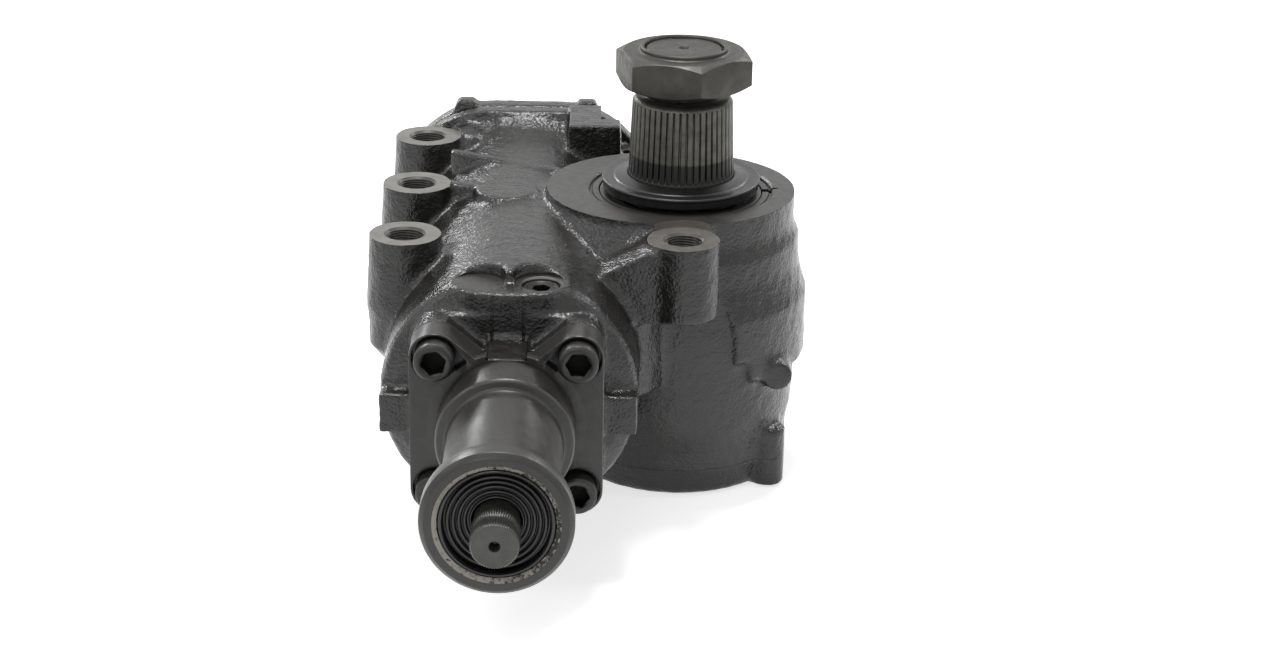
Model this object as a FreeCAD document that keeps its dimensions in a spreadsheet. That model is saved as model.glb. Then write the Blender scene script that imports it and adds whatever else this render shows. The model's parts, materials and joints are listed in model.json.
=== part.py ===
import FreeCAD, Part
import math
import os
import re
import Sketcher

# Integral power steering gear: a rack piston driven by a recirculating ball worm turns a toothed
# sector shaft. Frame: origin where the sector shaft axis meets the mounting plane, +Z out along the
# output shaft, -Y towards the input shaft. Lengths in millimetres, angles in degrees.

sizes = {
    # mechanism
    "axis_offset": 94,
    "axis_drop": 70,
    "rack_module": 7.5,
    "sector_pitch_r": 52,
    "addendum_share": 0.9,
    "dedendum_share": 1.05,
    "pressure_angle": 25,
    "flank_backlash": 0.15,
    "sector_swing": 45,
    "stop_gap": 2.2,
    "gear_width": 70,
    "worm_lead": 17,
    "running_gap": 0.05,
    "fitting_gap": 0.15,
    "safe_gap": 0.4,
    # housing barrel, drum and front neck
    "barrel_r": 70,
    "barrel_front": 146,
    "shoulder_length": 10,
    "piston_bore_r": 55,
    "chamber_front": 112,
    "rear_joint": 139,
    "front_joint": 158,
    "neck_half": 51,
    "neck_corner_r": 13.5,
    "neck_root": 128,
    "front_bolt_half": 37.5,
    "valve_bore_r": 34,
    "valve_floor": 119,
    "stem_hole_r": 17,
    "drum_top": 4,
    "drum_rim_r": 66,
    "drum_waist_r": 71.5,
    "drum_base_r": 66.5,
    "drum_waist_depth": 65,
    "shoulder_drop": 14,
    "drum_base": 147,
    "drum_spread": 13,
    "gear_chamber_r": 59.5,
    "gear_chamber_top": 33,
    "upper_bore_r": 46,
    "seal_bore_r": 53,
    "seal_bore_depth": 12,
    # mounting bosses
    "mount_hole_r": 9.2,
    "mount_hole_depth": 34,
    "mount_chamfer": 1.4,
    "boss_r": 20,
    "boss_root_r": 22,
    "boss_depth": 66,
    "side_boss_x": 154,
    "side_boss_front": 76,
    "side_boss_mid": 13,
    "side_boss_rear": 105,
    "drum_boss_front": 79.5,
    "drum_boss_rear": 105,
    "drum_boss_depth": 44,
    "corner_wall_depth": 56,
    "rib_width": 16,
    "ridge_width": 9,
    "pad_r": 18,
    "valve_block_right": 34.5,
    "valve_block_top": 12,
    "side_pad_rise": 3.8,
    "boss_level": 91,
    "side_boss_place": 56.6,
    "side_stub_r": 8.8,
    "side_stub_front": 57,
    "side_lug_height": 18,
    # ports
    "port_face_drop": 7,
    "port_block_half": 32,
    "port_head_r": 19,
    "port_head_depth": 14,
    "port_block_front": 150,
    "port_block_rear": 104,
    "port_spacing": 33.6,
    "port_line": 133,
    "port_spot_r": 14.6,
    "port_hole_r": 10.2,
    "port_hole_depth": 16,
    "notch_half": 10.5,
    "notch_floor": 32.5,
    "notch_top_half": 35.5,
    "notch_top": 53.5,
    # rear flange and cover
    "rear_half": 80,
    "rear_corner_r": 58,
    "rear_flange": 13,
    "rear_cover_plate": 14,
    "rear_spigot": 5,
    "rear_lug_place": 38,
    "rear_bolt_circle_r": 70,
    # front cover
    "cover_floor": 13,
    "cover_rim": 19,
    "screw_pocket_r": 12,
    "neck_r": 30,
    "base_ring_r": 36,
    "base_ring_length": 31,
    "spigot_length": 8,
    "collar_r": 37.9,
    "collar_length": 23,
    "cover_length": 137.7,
    "mouth_r": 29,
    "mouth_depth": 16,
    # input shaft and worm
    "input_tip": 318,
    "input_r": 12.2,
    "input_journal_r": 14,
    "rotor_r": 15,
    "worm_r": 15,
    "worm_tip": 36,
    "ball_r": 3.5,
    "ball_path_r": 16.3,
    "groove_clearance": 0.1,
    "ball_count": 14,
    "torsion_bar_r": 4.5,
    "rotor_end": 128,
    "bar_end": 30,
    "bar_seat": 12,
    "pin_r": 2.5,
    "front_pin": 40,
    # piston
    "nut_bore_r": 19.9,
    "piston_plug_r": 25,
    "piston_plug_length": 12,
    "ring_groove_width": 5,
    "ring_groove_depth": 3,
    "ring_land": 10,
    "ball_inset": 14,
    # sector shaft
    "journal_r": 35,
    "lower_journal_r": 27,
    "hub_r": 38,
    "cap_seat_r": 31.2,
    "spline_count": 36,
    "spline_depth": 1.5,
    "spline_root_r": 30.5,
    "spline_tip_r": 28.75,
    "spline_start": 14,
    "spline_end": 57.5,
    "thread_r": 22.5,
    "shaft_end": 86,
    "nut_base": 66,
    "nut_height": 20,
    "nut_flats": 70,
    "nut_ring_r": 25.1,
    "nut_ring_height": 2.6,
    "cap_r": 46,
    "cap_base": 4.6,
    "cap_top": 11,
    # side cover
    "side_cover_plate": 18,
    "side_lug_r": 10,
    "side_bolt_circle_r": 66.5,
    "side_bolt_angle": 36,
    "adjuster_r": 8,
    "lower_bearing_r": 34,
    "lower_boss_r": 41,
    "lower_boss_top": 110,
    "shaft_base": 143,
    # seal rings in the joints
    "front_seal_r": 31.8,
    "rear_seal_r": 58,
    "side_seal_depth": 2.2,
    # fasteners
    "m14_r": 7,
    "m14_head_r": 10.5,
    "m14_socket": 12,
    "m12_r": 6,
    "m12_head_r": 9,
    "m12_socket": 10,
    "m10_r": 5,
    "m10_head_r": 8,
    "m10_socket": 8,
    "screw_grip": 26,
}

doc = FreeCAD.newDocument("SteeringGear")
sheet = doc.addObject("Spreadsheet::Sheet", "sizes")
for row, (alias, number) in enumerate(sizes.items(), start=1):
    sheet.set(f"A{row}", alias)
    sheet.set(f"B{row}", str(number))
    sheet.setAlias(f"B{row}", alias)
doc.recompute()

nodes = {}
name_pattern = re.compile(r"\b(" + "|".join(sizes) + r")\b")


# Expressions and their values

def from_sheet(text):
    return name_pattern.sub(r"sizes.\1", text)


def bind(thing, path, text):
    thing.setExpression(path, from_sheet(text))


def amount(text):
    return float(sheet.evalExpression(text))


# Bodies, sketches and features

def new_body(label, at=("0", "0", "0")):
    body = doc.addObject("PartDesign::Body", label)
    body.Label = label
    for axis, text in zip("xyz", at):
        bind(body, f"Placement.Base.{axis}", text)
    nodes[label] = body
    return body


def origin_plane(body, role):
    return [part for part in body.Origin.OriginFeatures if part.Role == role][0]


def new_sketch(body, plane, at=("0", "0", "0"), turned=0.0):
    sketch = body.newObject("Sketcher::SketchObject", body.Name + "_sketch")
    sketch.AttachmentSupport = [(origin_plane(body, plane), "")]
    sketch.MapMode = "FlatFace"
    sketch.AttachmentOffset = FreeCAD.Placement(
        FreeCAD.Vector(), FreeCAD.Rotation(FreeCAD.Vector(0, 1, 0), turned))
    for axis, text in zip("xyz", at):
        bind(sketch, f"AttachmentOffset.Base.{axis}", text)
    return sketch


def pin_point(sketch, geometry, vertex, x, y):
    for kind, text in (("DistanceX", x), ("DistanceY", y)):
        index = sketch.addConstraint(Sketcher.Constraint(kind, -1, 1, geometry, vertex, amount(text)))
        bind(sketch, f"Constraints[{index}]", text)


def draw_outline(sketch, points):
    corners = [FreeCAD.Vector(amount(x), amount(y), 0) for x, y in points]
    first = sketch.GeometryCount
    count = len(corners)
    for index, corner in enumerate(corners):
        sketch.addGeometry(Part.LineSegment(corner, corners[(index + 1) % count]), False)
    for index in range(count):
        following = first + (index + 1) % count
        sketch.addConstraint(Sketcher.Constraint("Coincident", first + index, 2, following, 1))
    for index, (x, y) in enumerate(points):
        pin_point(sketch, first + index, 1, x, y)


def draw_rounded(sketch, corners):
    # Corners run anticlockwise as (x, y, radius) of each corner's arc centre; radius 0 is a sharp corner.
    places = [(amount(x), amount(y), amount(radius)) for x, y, radius in corners]
    count = len(places)
    headings = []
    for index, (x, y, radius) in enumerate(places):
        next_x, next_y, next_radius = places[(index + 1) % count]
        gap = math.hypot(next_x - x, next_y - y)
        heading = math.atan2(next_y - y, next_x - x) - math.asin((next_radius - radius) / gap)
        headings.append(heading - math.pi / 2)

    def touch(index, side):
        x, y, radius = places[index]
        return FreeCAD.Vector(x + radius * math.cos(side), y + radius * math.sin(side), 0)

    lines = []
    for index in range(count):
        start, end = touch(index, headings[index]), touch((index + 1) % count, headings[index])
        lines.append(sketch.addGeometry(Part.LineSegment(start, end), False))
    for index, (x, y, radius) in enumerate(corners):
        before, after = lines[index - 1], lines[index]
        if places[index][2] == 0:
            sketch.addConstraint(Sketcher.Constraint("Coincident", before, 2, after, 1))
            pin_point(sketch, after, 1, x, y)
            continue
        centre = FreeCAD.Vector(places[index][0], places[index][1], 0)
        circle = Part.Circle(centre, FreeCAD.Vector(0, 0, 1), places[index][2])
        arc = sketch.addGeometry(Part.ArcOfCircle(circle, headings[index - 1], headings[index]), False)
        sketch.addConstraint(Sketcher.Constraint("Tangent", before, 2, arc, 1))
        sketch.addConstraint(Sketcher.Constraint("Tangent", arc, 2, after, 1))
        pin_point(sketch, arc, 3, x, y)
        limit = sketch.addConstraint(Sketcher.Constraint("Radius", arc, places[index][2]))
        bind(sketch, f"Constraints[{limit}]", radius)


def draw_circle(sketch, x, y, radius):
    centre = FreeCAD.Vector(amount(x), amount(y), 0)
    circle = sketch.addGeometry(Part.Circle(centre, FreeCAD.Vector(0, 0, 1), amount(radius)), False)
    pin_point(sketch, circle, 3, x, y)
    index = sketch.addConstraint(Sketcher.Constraint("Radius", circle, amount(radius)))
    bind(sketch, f"Constraints[{index}]", radius)


def extrude(body, sketch, length, kind="Pad", along=True):
    feature = body.newObject("PartDesign::" + kind, body.Name + "_" + kind.lower())
    feature.Profile = sketch
    feature.Reversed = along == (kind == "Pocket")
    feature.Refine = False
    bind(feature, "Length", length)
    sketch.Visibility = False
    return feature


def revolve(body, sketch, kind="Revolution", angle=360.0):
    feature = body.newObject("PartDesign::" + kind, body.Name + "_" + kind.lower())
    feature.Profile = sketch
    feature.ReferenceAxis = (sketch, ["V_Axis"])
    feature.Angle = angle
    feature.Refine = False
    sketch.Visibility = False
    return feature


def turn_profile(body, plane, points, kind="Revolution", at=("0", "0", "0")):
    sketch = new_sketch(body, plane, at)
    draw_outline(sketch, points)
    return revolve(body, sketch, kind)


def block(body, plane, points, length, at, kind="Pad", along=True):
    sketch = new_sketch(body, plane, at)
    draw_outline(sketch, points)
    return extrude(body, sketch, length, kind, along)


def rounded_block(body, plane, corners, length, at, kind="Pad", along=True):
    sketch = new_sketch(body, plane, at)
    draw_rounded(sketch, corners)
    return extrude(body, sketch, length, kind, along)


def discs(body, plane, centres, radius, length, at, kind="Pad", along=True):
    sketch = new_sketch(body, plane, at)
    for x, y in centres:
        draw_circle(sketch, x, y, radius)
    return extrude(body, sketch, length, kind, along)


def ring_profile(inner, outer, start, end):
    return [(inner, start), (outer, start), (outer, end), (inner, end)]


def turned_piece(label, points, plane="XY_Plane", at=None):
    if at is None:
        at = main_axis if plane == "XY_Plane" else ("0", "0", "0")
    body = new_body(label, at)
    turn_profile(body, plane, points)
    return body


main_axis = ("-axis_offset", "0", "-axis_drop")
signs = (-1, 1)


def mirrored(points):
    # A half outline right of the centre line, from bottom to top, closed by its mirror image.
    return points + [(f"-({x})", y, *rest) for x, y, *rest in reversed(points)]


def rounded_square(half, radius):
    centre = f"{half} - ({radius})"
    return mirrored([(centre, f"-({centre})", radius), (centre, centre, radius)])


# Screws lie along one axis; the head seats at the start of the shank.

def socket_screw(name, place, direction, shank_r, head_r, socket, grip):
    head_height = f"({shank_r}) * 2"
    turn = FreeCAD.Rotation(FreeCAD.Vector(0, 0, 1), FreeCAD.Vector(*direction))
    made = []
    for part, kind, start, long in (
            ("head", "Part::Cylinder", f"-({head_height})", head_height),
            ("shank", "Part::Cylinder", "0", grip),
            ("socket", "Part::Prism", f"-({head_height})", f"({shank_r}) * 1.1")):
        solid = doc.addObject(kind, f"{name}_{part}")
        bind(solid, "Height", long)
        if part == "head":
            bind(solid, "Radius", head_r)
        elif part == "shank":
            bind(solid, "Radius", shank_r)
        else:
            bind(solid, "Circumradius", f"({socket}) / sqrt(3)")
        solid.Placement.Rotation = turn
        for axis, text, way in zip("xyz", place, direction):
            bind(solid, f"Placement.Base.{axis}", f"({text}) + ({way}) * ({start})")
        made.append(solid)
    body = doc.addObject("Part::Fuse", name + "_body")
    body.Base, body.Tool = made[0], made[1]
    screw = doc.addObject("Part::Cut", name)
    screw.Base, screw.Tool = body, made[2]
    return screw


def group(label, members):
    compound = doc.addObject("Part::Compound", label)
    compound.Label = label
    compound.Links = members
    nodes[label] = compound
    return compound


# Shared places

front_bolts = [(f"{a} * front_bolt_half", f"{b} * front_bolt_half") for a in signs for b in signs]
rear_angles = [0, 60, 120, 180, 240, 300]
rear_bolts = [(f"rear_bolt_circle_r * cos({a} deg)", f"rear_bolt_circle_r * sin({a} deg)")
              for a in rear_angles]
side_bolts = [(f"{a} * side_bolt_circle_r * cos(side_bolt_angle * 1 deg)",
               f"{b} * side_bolt_circle_r * sin(side_bolt_angle * 1 deg)") for a in signs for b in signs]
mount_holes = [("-side_boss_x", "-side_boss_front"), ("-side_boss_x", "side_boss_mid"),
               ("-side_boss_x", "side_boss_rear"), ("0", "-drum_boss_front"), ("0", "drum_boss_rear")]
side_teeth = 2
upper_pad_turn = -65.0
upper_pad_sweep = 79.0
lower_pad_turn = -57.0
lower_pad_sweep = 71.0
nut_turn = -77
groove_turns = 7
groove_turns_before = 3
valve_ring_places = ("-front_joint + 12", "-valve_floor - 11")
tooth_height = "addendum_share * rack_module"
tooth_depth = "dedendum_share * rack_module"
piston_travel = "(sector_pitch_r * sector_swing * pi / 180)"
piston_front = f"(chamber_front - {piston_travel} - stop_gap)"
piston_rear = f"(rear_joint - rear_spigot - {piston_travel} - stop_gap)"
first_ball = f"({piston_front} - ball_inset)"


# Housing casting

def make_housing():
    body = new_body("housing")
    barrel_at = ("-axis_offset", "0", "-axis_drop")
    turn_profile(body, "XY_Plane", [
        ("0", "-barrel_front"), ("barrel_r - shoulder_length", "-barrel_front"),
        ("barrel_r - 2", "shoulder_length * 0.5 - barrel_front"),
        ("barrel_r", "shoulder_length - barrel_front"),
        ("barrel_r", "rear_joint - rear_flange * 2"), ("barrel_r + 4", "rear_joint - rear_flange"),
        ("0", "rear_joint - rear_flange")], at=barrel_at)
    turn_profile(body, "XZ_Plane", [
        ("0", "drum_top"), ("drum_rim_r - 1.5", "drum_top"), ("drum_rim_r", "drum_top - 2"),
        ("drum_rim_r + 0.5", "-shoulder_drop"), ("drum_waist_r - 2", "-shoulder_drop - 6"),
        ("drum_waist_r", "-drum_waist_depth"), ("drum_waist_r - 2.5", "-drum_waist_depth * 1.9"),
        ("drum_base_r - 1", "-drum_base + 5"), ("drum_base_r", "-drum_base"), ("0", "-drum_base")])
    discs(body, "XY_Plane", [("-drum_spread", "0")], "drum_rim_r - 5", "drum_waist_depth",
          ("0", "0", "drum_top"), along=False)
    add_neck(body)
    add_rear_flange(body)
    add_mounting_bosses(body)
    add_port_block(body)
    add_drum_details(body)
    cut_bores(body)
    cut_holes(body)
    return body


def add_neck(body):
    at = ("-axis_offset", "-axis_drop", "front_joint")
    rounded_block(body, "XZ_Plane", rounded_square("neck_half", "neck_corner_r"),
                  "front_joint - neck_root", at, along=False)
    # the cover's notch runs on into the neck and ends at the stem of the port block
    block(body, "XZ_Plane", mirrored([("notch_half", "notch_floor"), ("notch_top_half", "notch_top")]),
          "front_joint - port_block_front", at, kind="Pocket", along=False)
    turn_profile(body, "XY_Plane", ring_profile(
        "valve_bore_r - 1", "base_ring_r", "-front_joint", "-neck_root - 2"),
        at=("-axis_offset", "0", "-axis_drop"))
    # square lugs on both sides, behind the cover flange
    block(body, "XZ_Plane", mirrored([("barrel_r - 1", "-15"), ("barrel_r - 1", "7")]),
          "28", ("-axis_offset", "-axis_drop", "front_joint - 3"), along=False)


def add_rear_flange(body):
    at = ("-axis_offset", "-axis_drop", "-(rear_joint - rear_flange)")
    rounded_block(body, "XZ_Plane", rounded_square("rear_half", "rear_corner_r"), "rear_flange", at,
                  along=False)
    for x, z in rear_bolts:
        turn_profile(body, "XY_Plane", [
            ("0", "-26"), ("6", "-25"), ("10", "-21"), ("12", "-14"), ("12", "1"), ("0", "1")],
            at=(f"-axis_offset + {x}", "rear_joint - rear_flange", f"-axis_drop + {z}"))


def add_mounting_bosses(body):
    for y in ("-side_boss_front", "side_boss_mid", "side_boss_rear"):
        turn_profile(body, "XZ_Plane", [
            ("0", "0"), ("boss_r - 0.6", "0"), ("boss_r", "-1"), ("boss_root_r", "-boss_depth * 0.6"),
            ("boss_r - 1", "-boss_depth"), ("boss_r - 8", "-boss_depth - 8"), ("0", "-boss_depth - 8")],
            at=("-side_boss_x", "0", f"-({y})"))
        block(body, "XY_Plane", [
            ("-side_boss_x", f"{y} - rib_width / 2"), ("-axis_offset - 18", f"{y} - rib_width / 2"),
            ("-axis_offset - 18", f"{y} + rib_width / 2"), ("-side_boss_x", f"{y} + rib_width / 2")],
            "boss_depth * 0.6", ("0", "0", "-axis_drop + barrel_r - 9"), along=False)
    for y, way in (("-drum_boss_front", "-1"), ("drum_boss_rear", "1")):
        turn_profile(body, "XZ_Plane", [
            ("0", "0"), ("boss_r", "0"), ("boss_r + 0.5", "-drum_boss_depth"), ("0", "-drum_boss_depth")],
            at=("0", "0", f"-({y})"))
        block(body, "XY_Plane", [
            ("boss_r * -0.75", f"{way} * 45"), ("boss_r * 0.75", f"{way} * 45"),
            ("boss_r * 0.75", y), ("boss_r * -0.75", y)],
            "drum_boss_depth - 6", ("0", "0", "-6"), along=False)
    # webs that tie the two drum side bosses to the barrel
    block(body, "XZ_Plane", [
        ("0", "-3"), ("-boss_r", "-3"), ("-axis_offset + 42", "-19"), ("-axis_offset + 42", "-46"),
        ("0", "-drum_boss_depth")],
        "36", ("0", "0", "drum_boss_front + 16"), along=False)
    # wall under that web, which closes the corner between the drum and the barrel's dome
    block(body, "XY_Plane", [
        ("-axis_offset + 44", "-drum_boss_front + 25"), ("-axis_offset + 44", "-drum_boss_front - 34"),
        ("-boss_r * 0.9", "-drum_boss_front - 4"), ("-boss_r * 0.55", "-drum_boss_front + 6"),
        ("-boss_r * 0.5", "-drum_boss_front + 25")],
        "corner_wall_depth", ("0", "0", "-drum_boss_depth + 8"), along=False)
    block(body, "XZ_Plane", [
        ("0", "-6"), ("-boss_r", "-6"), ("-axis_offset + 42", "-19"), ("-axis_offset + 42", "-60"),
        ("0", "-drum_boss_depth")],
        "16", ("0", "0", "-drum_boss_rear + 8"), along=False)


def add_port_block(body):
    # a rounded head that carries the two ports, on a stem that runs down to the notch of the cover
    rounded_block(body, "XY_Plane", [
        ("-axis_offset - port_block_half", "-port_block_rear", "0"),
        ("-axis_offset - port_block_half + port_head_r", "-port_block_front + port_head_r + 1", "port_head_r"),
        ("-axis_offset", "-port_block_front + port_block_half * 2.8", "port_block_half * 2.8"),
        ("-axis_offset + port_block_half - port_head_r", "-port_block_front + port_head_r + 1", "port_head_r"),
        ("-axis_offset + port_block_half", "-port_block_rear", "0")],
        "port_head_depth", ("0", "0", "-port_face_drop"), along=False)
    block(body, "XZ_Plane", mirrored([
        ("notch_half", "notch_floor - 4.5"), ("notch_half", "notch_floor + 1"),
        ("port_block_half - 5", "axis_drop - port_face_drop - port_head_depth")]),
        "port_block_front - port_block_rear", ("-axis_offset", "-axis_drop", "port_block_front"),
        along=False)


def add_drum_details(body):
    # flat cast pad on top of the barrel, and the two ridges that cross it from the middle and rear bosses
    discs(body, "XY_Plane", [("-axis_offset - 7", "side_boss_mid - 14")], "pad_r", "8", ("0", "0", "1.8"),
          along=False)
    for start, end in ((("-side_boss_x + 16", "side_boss_rear - 30"), ("-drum_rim_r", "side_boss_mid + 25")),
                       (("-side_boss_x + 16", "side_boss_mid"),
                        ("-axis_offset - 20", "side_boss_mid - 5"))):
        block(body, "XY_Plane", [
            (start[0], f"{start[1]} - ridge_width / 2"), (end[0], f"{end[1]} - ridge_width / 2"),
            (end[0], f"{end[1]} + ridge_width / 2"), (start[0], f"{start[1]} + ridge_width / 2")],
            "14", ("0", "0", "-axis_drop + barrel_r + 0.8"), along=False)
    # rectangular valve block beside the rear flange
    block(body, "XY_Plane", [
        ("-valve_block_right - 32", "rear_joint - 48"), ("-valve_block_right", "rear_joint - 48"),
        ("-valve_block_right", "rear_joint - 1"), ("-valve_block_right - 32", "rear_joint - 1")],
        "50", ("0", "0", "valve_block_top"), along=False)
    # raised pad that runs round the outer side of the drum, its lower band shorter than the upper
    for turn, sweep, top, bottom in (
            (upper_pad_turn, upper_pad_sweep, "-drum_waist_depth + 25", "-boss_level + 12"),
            (lower_pad_turn, lower_pad_sweep, "-boss_level + 25", "-boss_level")):
        sketch = new_sketch(body, "XZ_Plane", turned=turn)
        draw_outline(sketch, [
            ("drum_waist_r - 8", f"{top} + 4"), ("drum_waist_r - 1", top),
            ("drum_waist_r + side_pad_rise", f"{top} - 14"), ("drum_waist_r + side_pad_rise", bottom),
            ("drum_waist_r - 8", f"{bottom} - 9")])
        revolve(body, sketch, angle=sweep)
    # blind cast boss that comes out of the pad towards the input end
    discs(body, "XZ_Plane", [("side_boss_place", "-boss_level")], "side_stub_r", "side_stub_front",
          ("0", "0", "side_stub_front"), along=False)
    # lugs for the side cover screws
    discs(body, "XY_Plane", side_bolts, "side_lug_r", "side_lug_height", ("0", "0", "-drum_base"), along=True)


def cut_bores(body):
    barrel_at = ("-axis_offset", "0", "-axis_drop")
    turn_profile(body, "XY_Plane", [
        ("0", "-front_joint - 1"), ("valve_bore_r", "-front_joint - 1"), ("valve_bore_r", "-valve_floor"),
        ("stem_hole_r", "-valve_floor"), ("stem_hole_r", "-chamber_front"),
        ("piston_bore_r", "-chamber_front"), ("piston_bore_r", "rear_joint + 1"),
        ("0", "rear_joint + 1")], kind="Groove", at=barrel_at)
    turn_profile(body, "XZ_Plane", [
        ("0", "drum_top + 1"), ("seal_bore_r + 1.5", "drum_top + 1"), ("seal_bore_r", "drum_top - 0.6"),
        ("seal_bore_r", "drum_top - seal_bore_depth"), ("upper_bore_r", "drum_top - seal_bore_depth"),
        ("upper_bore_r", "-gear_chamber_top"), ("gear_chamber_r", "-gear_chamber_top"),
        ("gear_chamber_r", "-drum_base - 1"), ("0", "-drum_base - 1")], kind="Groove")
    turn_profile(body, "XZ_Plane", ring_profile(
        "seal_bore_r - 1", "seal_bore_r + 2", "drum_top - 4.6", "drum_top - 2"), kind="Groove")
    turn_profile(body, "XY_Plane", ring_profile(
        "rear_seal_r", "rear_seal_r + 3", "rear_joint - 2", "rear_joint"), kind="Groove", at=barrel_at)


def cut_holes(body):
    # clearance above the mounting faces, then the tapped holes with their chamfers
    discs(body, "XY_Plane", [("0", "-drum_boss_front"), ("0", "drum_boss_rear")], "boss_r + 0.6", "8",
          ("0", "0", "0"), kind="Pocket")
    for x, y in mount_holes:
        turn_profile(body, "XZ_Plane", [
            ("0", "1"), ("mount_hole_r + mount_chamfer", "1"), ("mount_hole_r + mount_chamfer", "0"),
            ("mount_hole_r", "-mount_chamfer"), ("mount_hole_r", "-mount_hole_depth"),
            ("0", "-mount_hole_depth - 5")], kind="Groove", at=(x, "0", f"-({y})"))
    # spot faces of the two ports, the right hand one drilled for its plug
    ports = [(f"-axis_offset + {a} * port_spacing / 2", "-port_line") for a in signs]
    discs(body, "XY_Plane", ports, "port_spot_r", "16", ("0", "0", "-port_face_drop"), kind="Pocket")
    block(body, "XY_Plane", [
        ("-axis_offset - port_block_half - 6", "-port_block_front - 6"),
        ("-axis_offset + port_block_half + 6", "-port_block_front - 6"),
        ("-axis_offset + port_block_half + 6", "-port_line"),
        ("-axis_offset - port_block_half - 6", "-port_line")],
        "20", ("0", "0", "-port_face_drop"), kind="Pocket")
    discs(body, "XY_Plane", ports[1:], "port_hole_r", "port_hole_depth", ("0", "0", "-port_face_drop"),
          kind="Pocket", along=False)
    # tapped holes for the covers
    front_places = [(f"-axis_offset + {x}", f"-axis_drop + {z}") for x, z in front_bolts]
    discs(body, "XZ_Plane", front_places, "m14_r + fitting_gap", "screw_grip",
          ("0", "0", "front_joint"), kind="Pocket", along=False)
    rear_places = [(f"-axis_offset + {x}", f"-axis_drop + {z}") for x, z in rear_bolts]
    discs(body, "XZ_Plane", rear_places, "m12_r + fitting_gap", "screw_grip",
          ("0", "0", "-rear_joint"), kind="Pocket")
    discs(body, "XY_Plane", side_bolts, "m10_r + fitting_gap", "14",
          ("0", "0", "-drum_base"), kind="Pocket")


# Front cover: flange, neck and collar in one casting

def make_front_cover():
    body = new_body("front_cover", main_axis)
    ear = ("front_bolt_half", "neck_half - neck_corner_r", "neck_corner_r")
    foot = ("front_bolt_half", "-neck_half + neck_corner_r", "neck_corner_r")
    rounded_block(body, "XZ_Plane", mirrored([foot, ear, ("notch_half", "notch_floor", "0")]), "cover_rim",
                  ("0", "0", "front_joint"))
    seat = ("0", "0", "front_joint + cover_floor")
    for side in signs:
        hollow = [(f"{side} * ({x})", z) for x, z in (
            ("notch_half + 3", "notch_floor - 5.5"), ("notch_half + 20", "front_bolt_half + 10"),
            ("notch_half + 16", "notch_floor - 4"), ("notch_half + 9", "notch_floor - 10"))]
        block(body, "XZ_Plane", hollow[::side], "cover_rim", seat, kind="Pocket")
    discs(body, "XZ_Plane", front_bolts, "screw_pocket_r", "cover_rim", seat, kind="Pocket")
    turn_profile(body, "XY_Plane", [
        ("0", "-front_joint + spigot_length"), ("valve_bore_r - 1", "-front_joint + spigot_length"),
        ("valve_bore_r - fitting_gap", "-front_joint + spigot_length - 1"),
        ("valve_bore_r - fitting_gap", "-front_joint"), ("base_ring_r", "-front_joint"),
        ("base_ring_r", "-front_joint - cover_floor"), ("base_ring_r + 4.5", "-front_joint - cover_floor"),
        ("base_ring_r + 4.5", "-front_joint - cover_rim"),
        ("base_ring_r + 1", "-front_joint - cover_rim - 2"),
        ("base_ring_r", "-front_joint - cover_rim - 5"),
        ("base_ring_r", "-front_joint - base_ring_length"),
        ("base_ring_r - 1", "-front_joint - base_ring_length - 1"),
        ("neck_r + 1.2", "-front_joint - base_ring_length - 2"),
        ("neck_r", "-front_joint - base_ring_length - 6"),
        ("neck_r", "-front_joint - cover_length + collar_length + 9"),
        ("collar_r - 3", "-front_joint - cover_length + collar_length"),
        ("collar_r - 3", "-front_joint - cover_length + collar_length - 8"),
        ("collar_r", "-front_joint - cover_length + collar_length - 10"),
        ("collar_r", "-front_joint - cover_length + 2"), ("collar_r - 2", "-front_joint - cover_length"),
        ("0", "-front_joint - cover_length")])
    turn_profile(body, "XY_Plane", [
        ("0", "-front_joint - cover_length - 1"), ("mouth_r + 2", "-front_joint - cover_length - 1"),
        ("mouth_r", "-front_joint - cover_length + 1.5"),
        ("mouth_r", "-front_joint - cover_length + mouth_depth"),
        ("21", "-front_joint - cover_length + mouth_depth"),
        ("21", "-front_joint - 56"), ("17", "-front_joint - 56"), ("17", "-front_joint - 8"),
        ("30", "-front_joint - 8"), ("30", "-front_joint + spigot_length + 1"),
        ("0", "-front_joint + spigot_length + 1")], kind="Groove")
    turn_profile(body, "XY_Plane", ring_profile(
        "front_seal_r", "valve_bore_r", "-front_joint + 3", "-front_joint + 5"), kind="Groove")
    discs(body, "XZ_Plane", front_bolts, "m14_r + fitting_gap", "cover_floor + 2",
          ("0", "0", "front_joint - 1"), kind="Pocket")
    return body


# Rear cover with spigot

def make_rear_cover():
    body = new_body("rear_cover", main_axis)
    rounded_block(body, "XZ_Plane", rounded_square("rear_half", "rear_corner_r"), "rear_cover_plate",
                  ("0", "0", "-rear_joint"), along=False)
    turn_profile(body, "XY_Plane", [
        ("0", "rear_joint - rear_spigot"), ("piston_bore_r - 2", "rear_joint - rear_spigot"),
        ("piston_bore_r - fitting_gap", "rear_joint - rear_spigot + 2"),
        ("piston_bore_r - fitting_gap", "rear_joint + 2"), ("50", "rear_joint + 2"),
        ("50", "rear_joint + rear_cover_plate + 4"), ("44", "rear_joint + rear_cover_plate + 6"),
        ("0", "rear_joint + rear_cover_plate + 6")])
    for side in signs:
        block(body, "XZ_Plane", [
            (f"{side} * (rear_lug_place - 8)", "rear_half - 3"), (f"{side} * (rear_lug_place + 8)", "rear_half - 3"),
            (f"{side} * (rear_lug_place + 5)", "rear_half + 2.6"),
            (f"{side} * (rear_lug_place - 5)", "rear_half + 2.6")][::side],
            "rear_cover_plate - 3", ("0", "0", "-rear_joint - 1"), along=False)
    discs(body, "XZ_Plane", rear_bolts, "m12_r + fitting_gap", "rear_cover_plate + 2",
          ("0", "0", "-rear_joint + 1"), kind="Pocket", along=False)
    return body


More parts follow.
